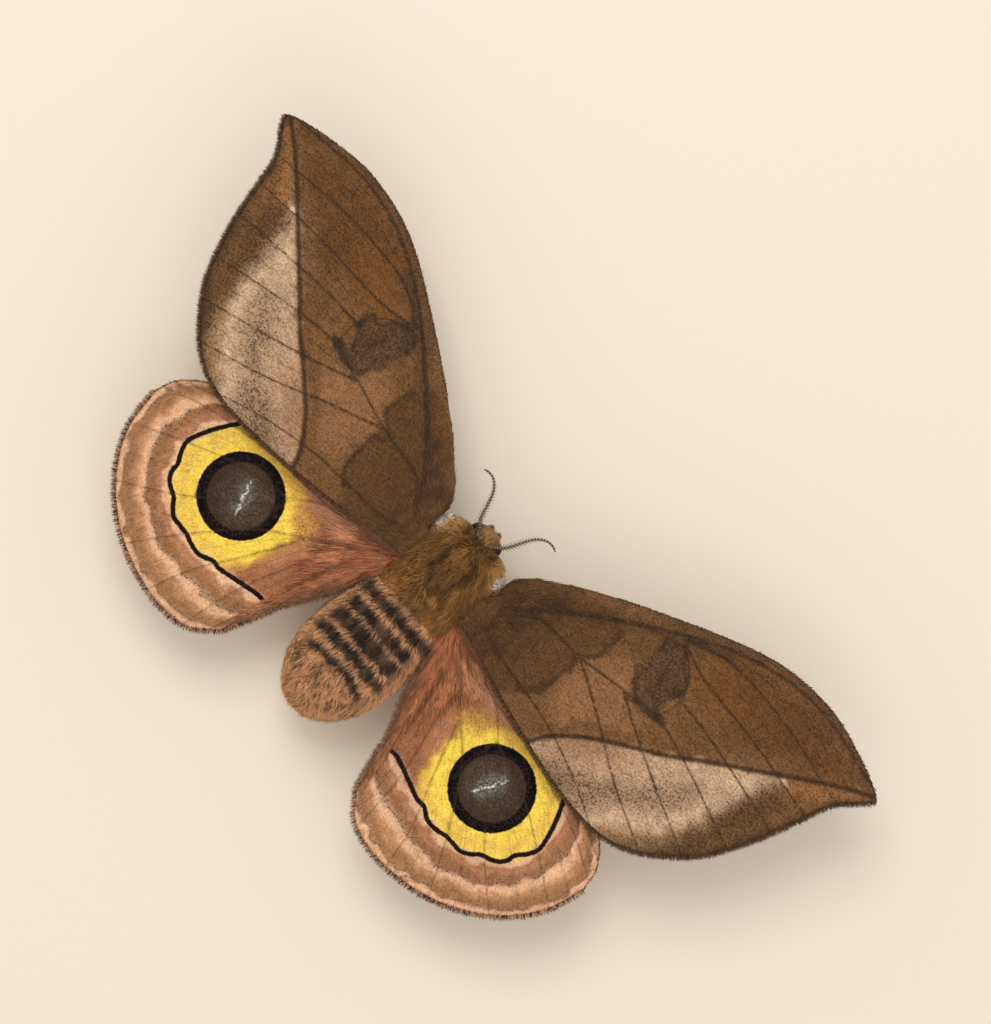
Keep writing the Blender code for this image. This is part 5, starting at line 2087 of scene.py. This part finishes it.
@dataclass
class ShoulderTufts:
    """The long fur over the wings' roots: the shoulder flaps, and the pale tuft before them.

    Attributes:
        body: the body, already built.
        seed: the seed of the draw.
    """

    body: Body
    seed: int = 90

    def roots(self, count: int, weight: Array, way: Triple, rng: Draw) -> tuple[Roots, Array]:
        """Scatter roots on the body, all with one lie, mirrored on the left side.

        Args:
            count: how many roots.
            weight: how dense they stand at each point of the body's grid.
            way: the lie on the right side.
            rng: the random draw.

        Returns:
            The roots and each one's lie.
        """
        roots = self.body.sheet.scatter(count, weight + FAINT, rng)
        lie = np.tile(way, (count, 1))
        lie[:, 0] *= np.sign(roots.points[:, 0])
        return roots, lie

    def build(self) -> list[Piece]:
        """Grow the flaps' fur outwards and back, and the pale fur outwards and forwards.

        Returns:
            The two coats.
        """
        rng = np.random.default_rng(self.seed)
        x, y, z = np.moveaxis(self.body.sheet.grid, 2, 0)
        flap = (ease(2.2, 3.2, np.abs(x)) * ease(8.6, 9.6, z)
                * ease(-5.4, -4.0, y) * ease(3.4, 2.6, y))
        roots, lie = self.roots(7000, flap, (0.75, -0.75, -0.3), rng)
        colours = dye(self.body.colour(roots.points), (140, 100, 54),
                      np.full(len(lie), 0.35)) * COAT_GAIN
        flaps = grow("shoulder_fur", "thorax_fur", roots, lie, Tuft(1.75, 0.12, 15.0, 12.0),
                     colours, rng)
        pale = (ease(3.3, 3.9, np.abs(x)) * ease(7.4, 8.0, z)
                * ease(10.6, 9.8, z) * ease(1.6, 2.2, y) * ease(4.7, 4.1, y))
        roots, lie = self.roots(3000, pale, (1.0, 0.5, 0.3), rng)
        colours = dye(np.tile((0.97, 0.9, 0.78), (len(lie), 1)), (196, 164, 126),
                      rng.random(len(lie)) ** 4)
        return [flaps, grow("shoulder_pale_fur", "thorax_fur", roots, lie,
                            Tuft(1.25, 0.14, 34.0, 10.0), colours, rng)]


@dataclass
class Studio:
    """The plain floor, the soft light and the camera straight above.

    Attributes:
        aim: the row's millimetres that the camera looks at, at the wings' height.
        away: how far above it the camera stands, in millimetres.
        turn: how far the plate's upward direction is turned from the head's, in degrees.
        floor: the floor's colour.
        half: half the floor's side, in metres.
        air: the strength of the light from all around.
        lens: the camera's focal length.
        lamps: each lamp's name, place, size and power.
    """

    aim: Triple = (-1.61, 10.40, 10.5)
    away: float = 415.6
    turn: float = 49.34
    floor: Colour = (246, 234, 212)
    half: float = 5.0
    air: float = 0.68
    lens: float = 135.0
    lamps: tuple[tuple[str, Triple, float, float], ...] = (
        ("key", (-0.28, 0.2, 0.5), 0.34, 1.3), ("fill", (0.35, -0.25, 0.4), 0.5, 0.4))

    def build(self) -> None:
        """Make the floor, the air's light, the lamps and the camera."""
        h = self.half
        mesh = bpy.data.meshes.new("floor")
        mesh.from_pydata([(-h, -h, 0), (h, -h, 0), (h, h, 0), (-h, h, 0)], [], [(0, 1, 2, 3)])
        n = Nodes("floor_paper")
        n.finish(opaque(self.floor), Roughness=0.9, Specular_IOR_Level=0.1)
        mesh.materials.append(n.material)
        floor = link("floor", mesh)
        world = bpy.data.worlds.new("studio_air")
        bpy.context.scene.world = world
        world.use_nodes = True
        background = world.node_tree.nodes["Background"]
        background.inputs["Color"].default_value = (1.0, 1.0, 1.0, 1.0)
        background.inputs["Strength"].default_value = self.air
        for row in self.lamps:
            self.lamp(*row)
        lens = bpy.data.cameras.new("camera")
        lens.lens, lens.sensor_width, lens.clip_start = self.lens, 36.0, 0.01
        camera = link("camera", lens)
        camera.location = np.array(self.aim) * MM + (0, 0, self.away * MM)
        camera.rotation_euler = (0.0, 0.0, math.radians(self.turn))
        bpy.context.scene.camera = camera
        bpy.context.scene.view_settings.view_transform = "Standard"

    def lamp(self, name: str, spot: Triple, size: float, power: float) -> None:
        """Hang a square lamp that faces the origin.

        Args:
            name: its name.
            spot: where it hangs, in metres.
            size: its side, in metres.
            power: its power.
        """
        lamp = bpy.data.lights.new(name, "AREA")
        lamp.size, lamp.energy = size, power
        back = unit(np.array(spot))
        right = unit(np.cross((0, 0, 1.0), back))
        turn = Matrix(np.column_stack((right, np.cross(back, right), back)).tolist()).to_4x4()
        turn.translation = spot
        link(name, lamp).matrix_world = turn


COATS = (
    ("thorax_upper_fur", "thorax_fur", 18000, Tuft(1.35, 0.12, 20.0), -5.9, 4.6, True, 0.0),
    ("thorax_lower_fur", "thorax_fur", 8000, Tuft(1.2, 0.16, 20.0), -5.9, 4.6, False, 0.0),
    ("thorax_long_hair", "thorax_fur", 2600, Tuft(1.5, 0.09, 28.0, 16.0), -5.6, 4.2, True, 0.3),
    ("abdomen_upper_fur", "abdomen_fur", 18000, Tuft(1.1, 0.13, 15.0), -22.0, -5.4, True, 0.0),
    ("abdomen_lower_fur", "abdomen_fur", 8500, Tuft(1.0, 0.17, 14.0), -22.0, -5.4, False, 0.0),
    ("abdomen_long_hair", "abdomen_fur", 3000, Tuft(1.2, 0.09, 30.0, 18.0), -22.2, -5.8, True,
     0.3),
    ("abdomen_long_hair_below", "abdomen_fur", 1600, Tuft(1.1, 0.09, 28.0, 18.0), -22.2, -5.8,
     False, 0.25),
    ("collar_ruff", "thorax_fur", 3300, Tuft(0.8, 0.11, 60.0, 30.0), 4.0, 5.0, True, 0.1),
    ("head_upper_fur", "thorax_fur", 5500, Tuft(0.72, 0.1, 22.0), 4.4, 6.8, True, 0.0),
    ("head_lower_fur", "thorax_fur", 3500, Tuft(0.7, 0.11, 22.0), 4.4, 6.8, False, 0.0),
)


def main() -> None:
    """Build the studio, then the moth's pieces in order."""
    logging.basicConfig(level=logging.INFO, format="%(message)s")
    Studio().build()
    rng = np.random.default_rng(5)
    body = Body()
    body.build()
    for row in COATS:
        body.coat(rng, *row)
    ShoulderTufts(body).build()
    for side in Side:
        for plan, steps, seed, count, reach in ((FOREWING, (200, 135), 100, 4800, 13.0),
                                                (HINDWING, (150, 125), 200, 7600, 15.0)):
            wing = Wing(plan, side, steps, seed + (0 if side is Side.RIGHT else 13))
            wing.build()
            WingHair(wing, count, reach).build()
        Eye(side).build()
        Feeler(side).build()
        Palps(side).build()
        for number, (name, line) in enumerate(LEGS):
            Leg(name, side, line, 300 + 10 * number + (side is Side.LEFT)).build()


if __name__ == "__main__":
    main()
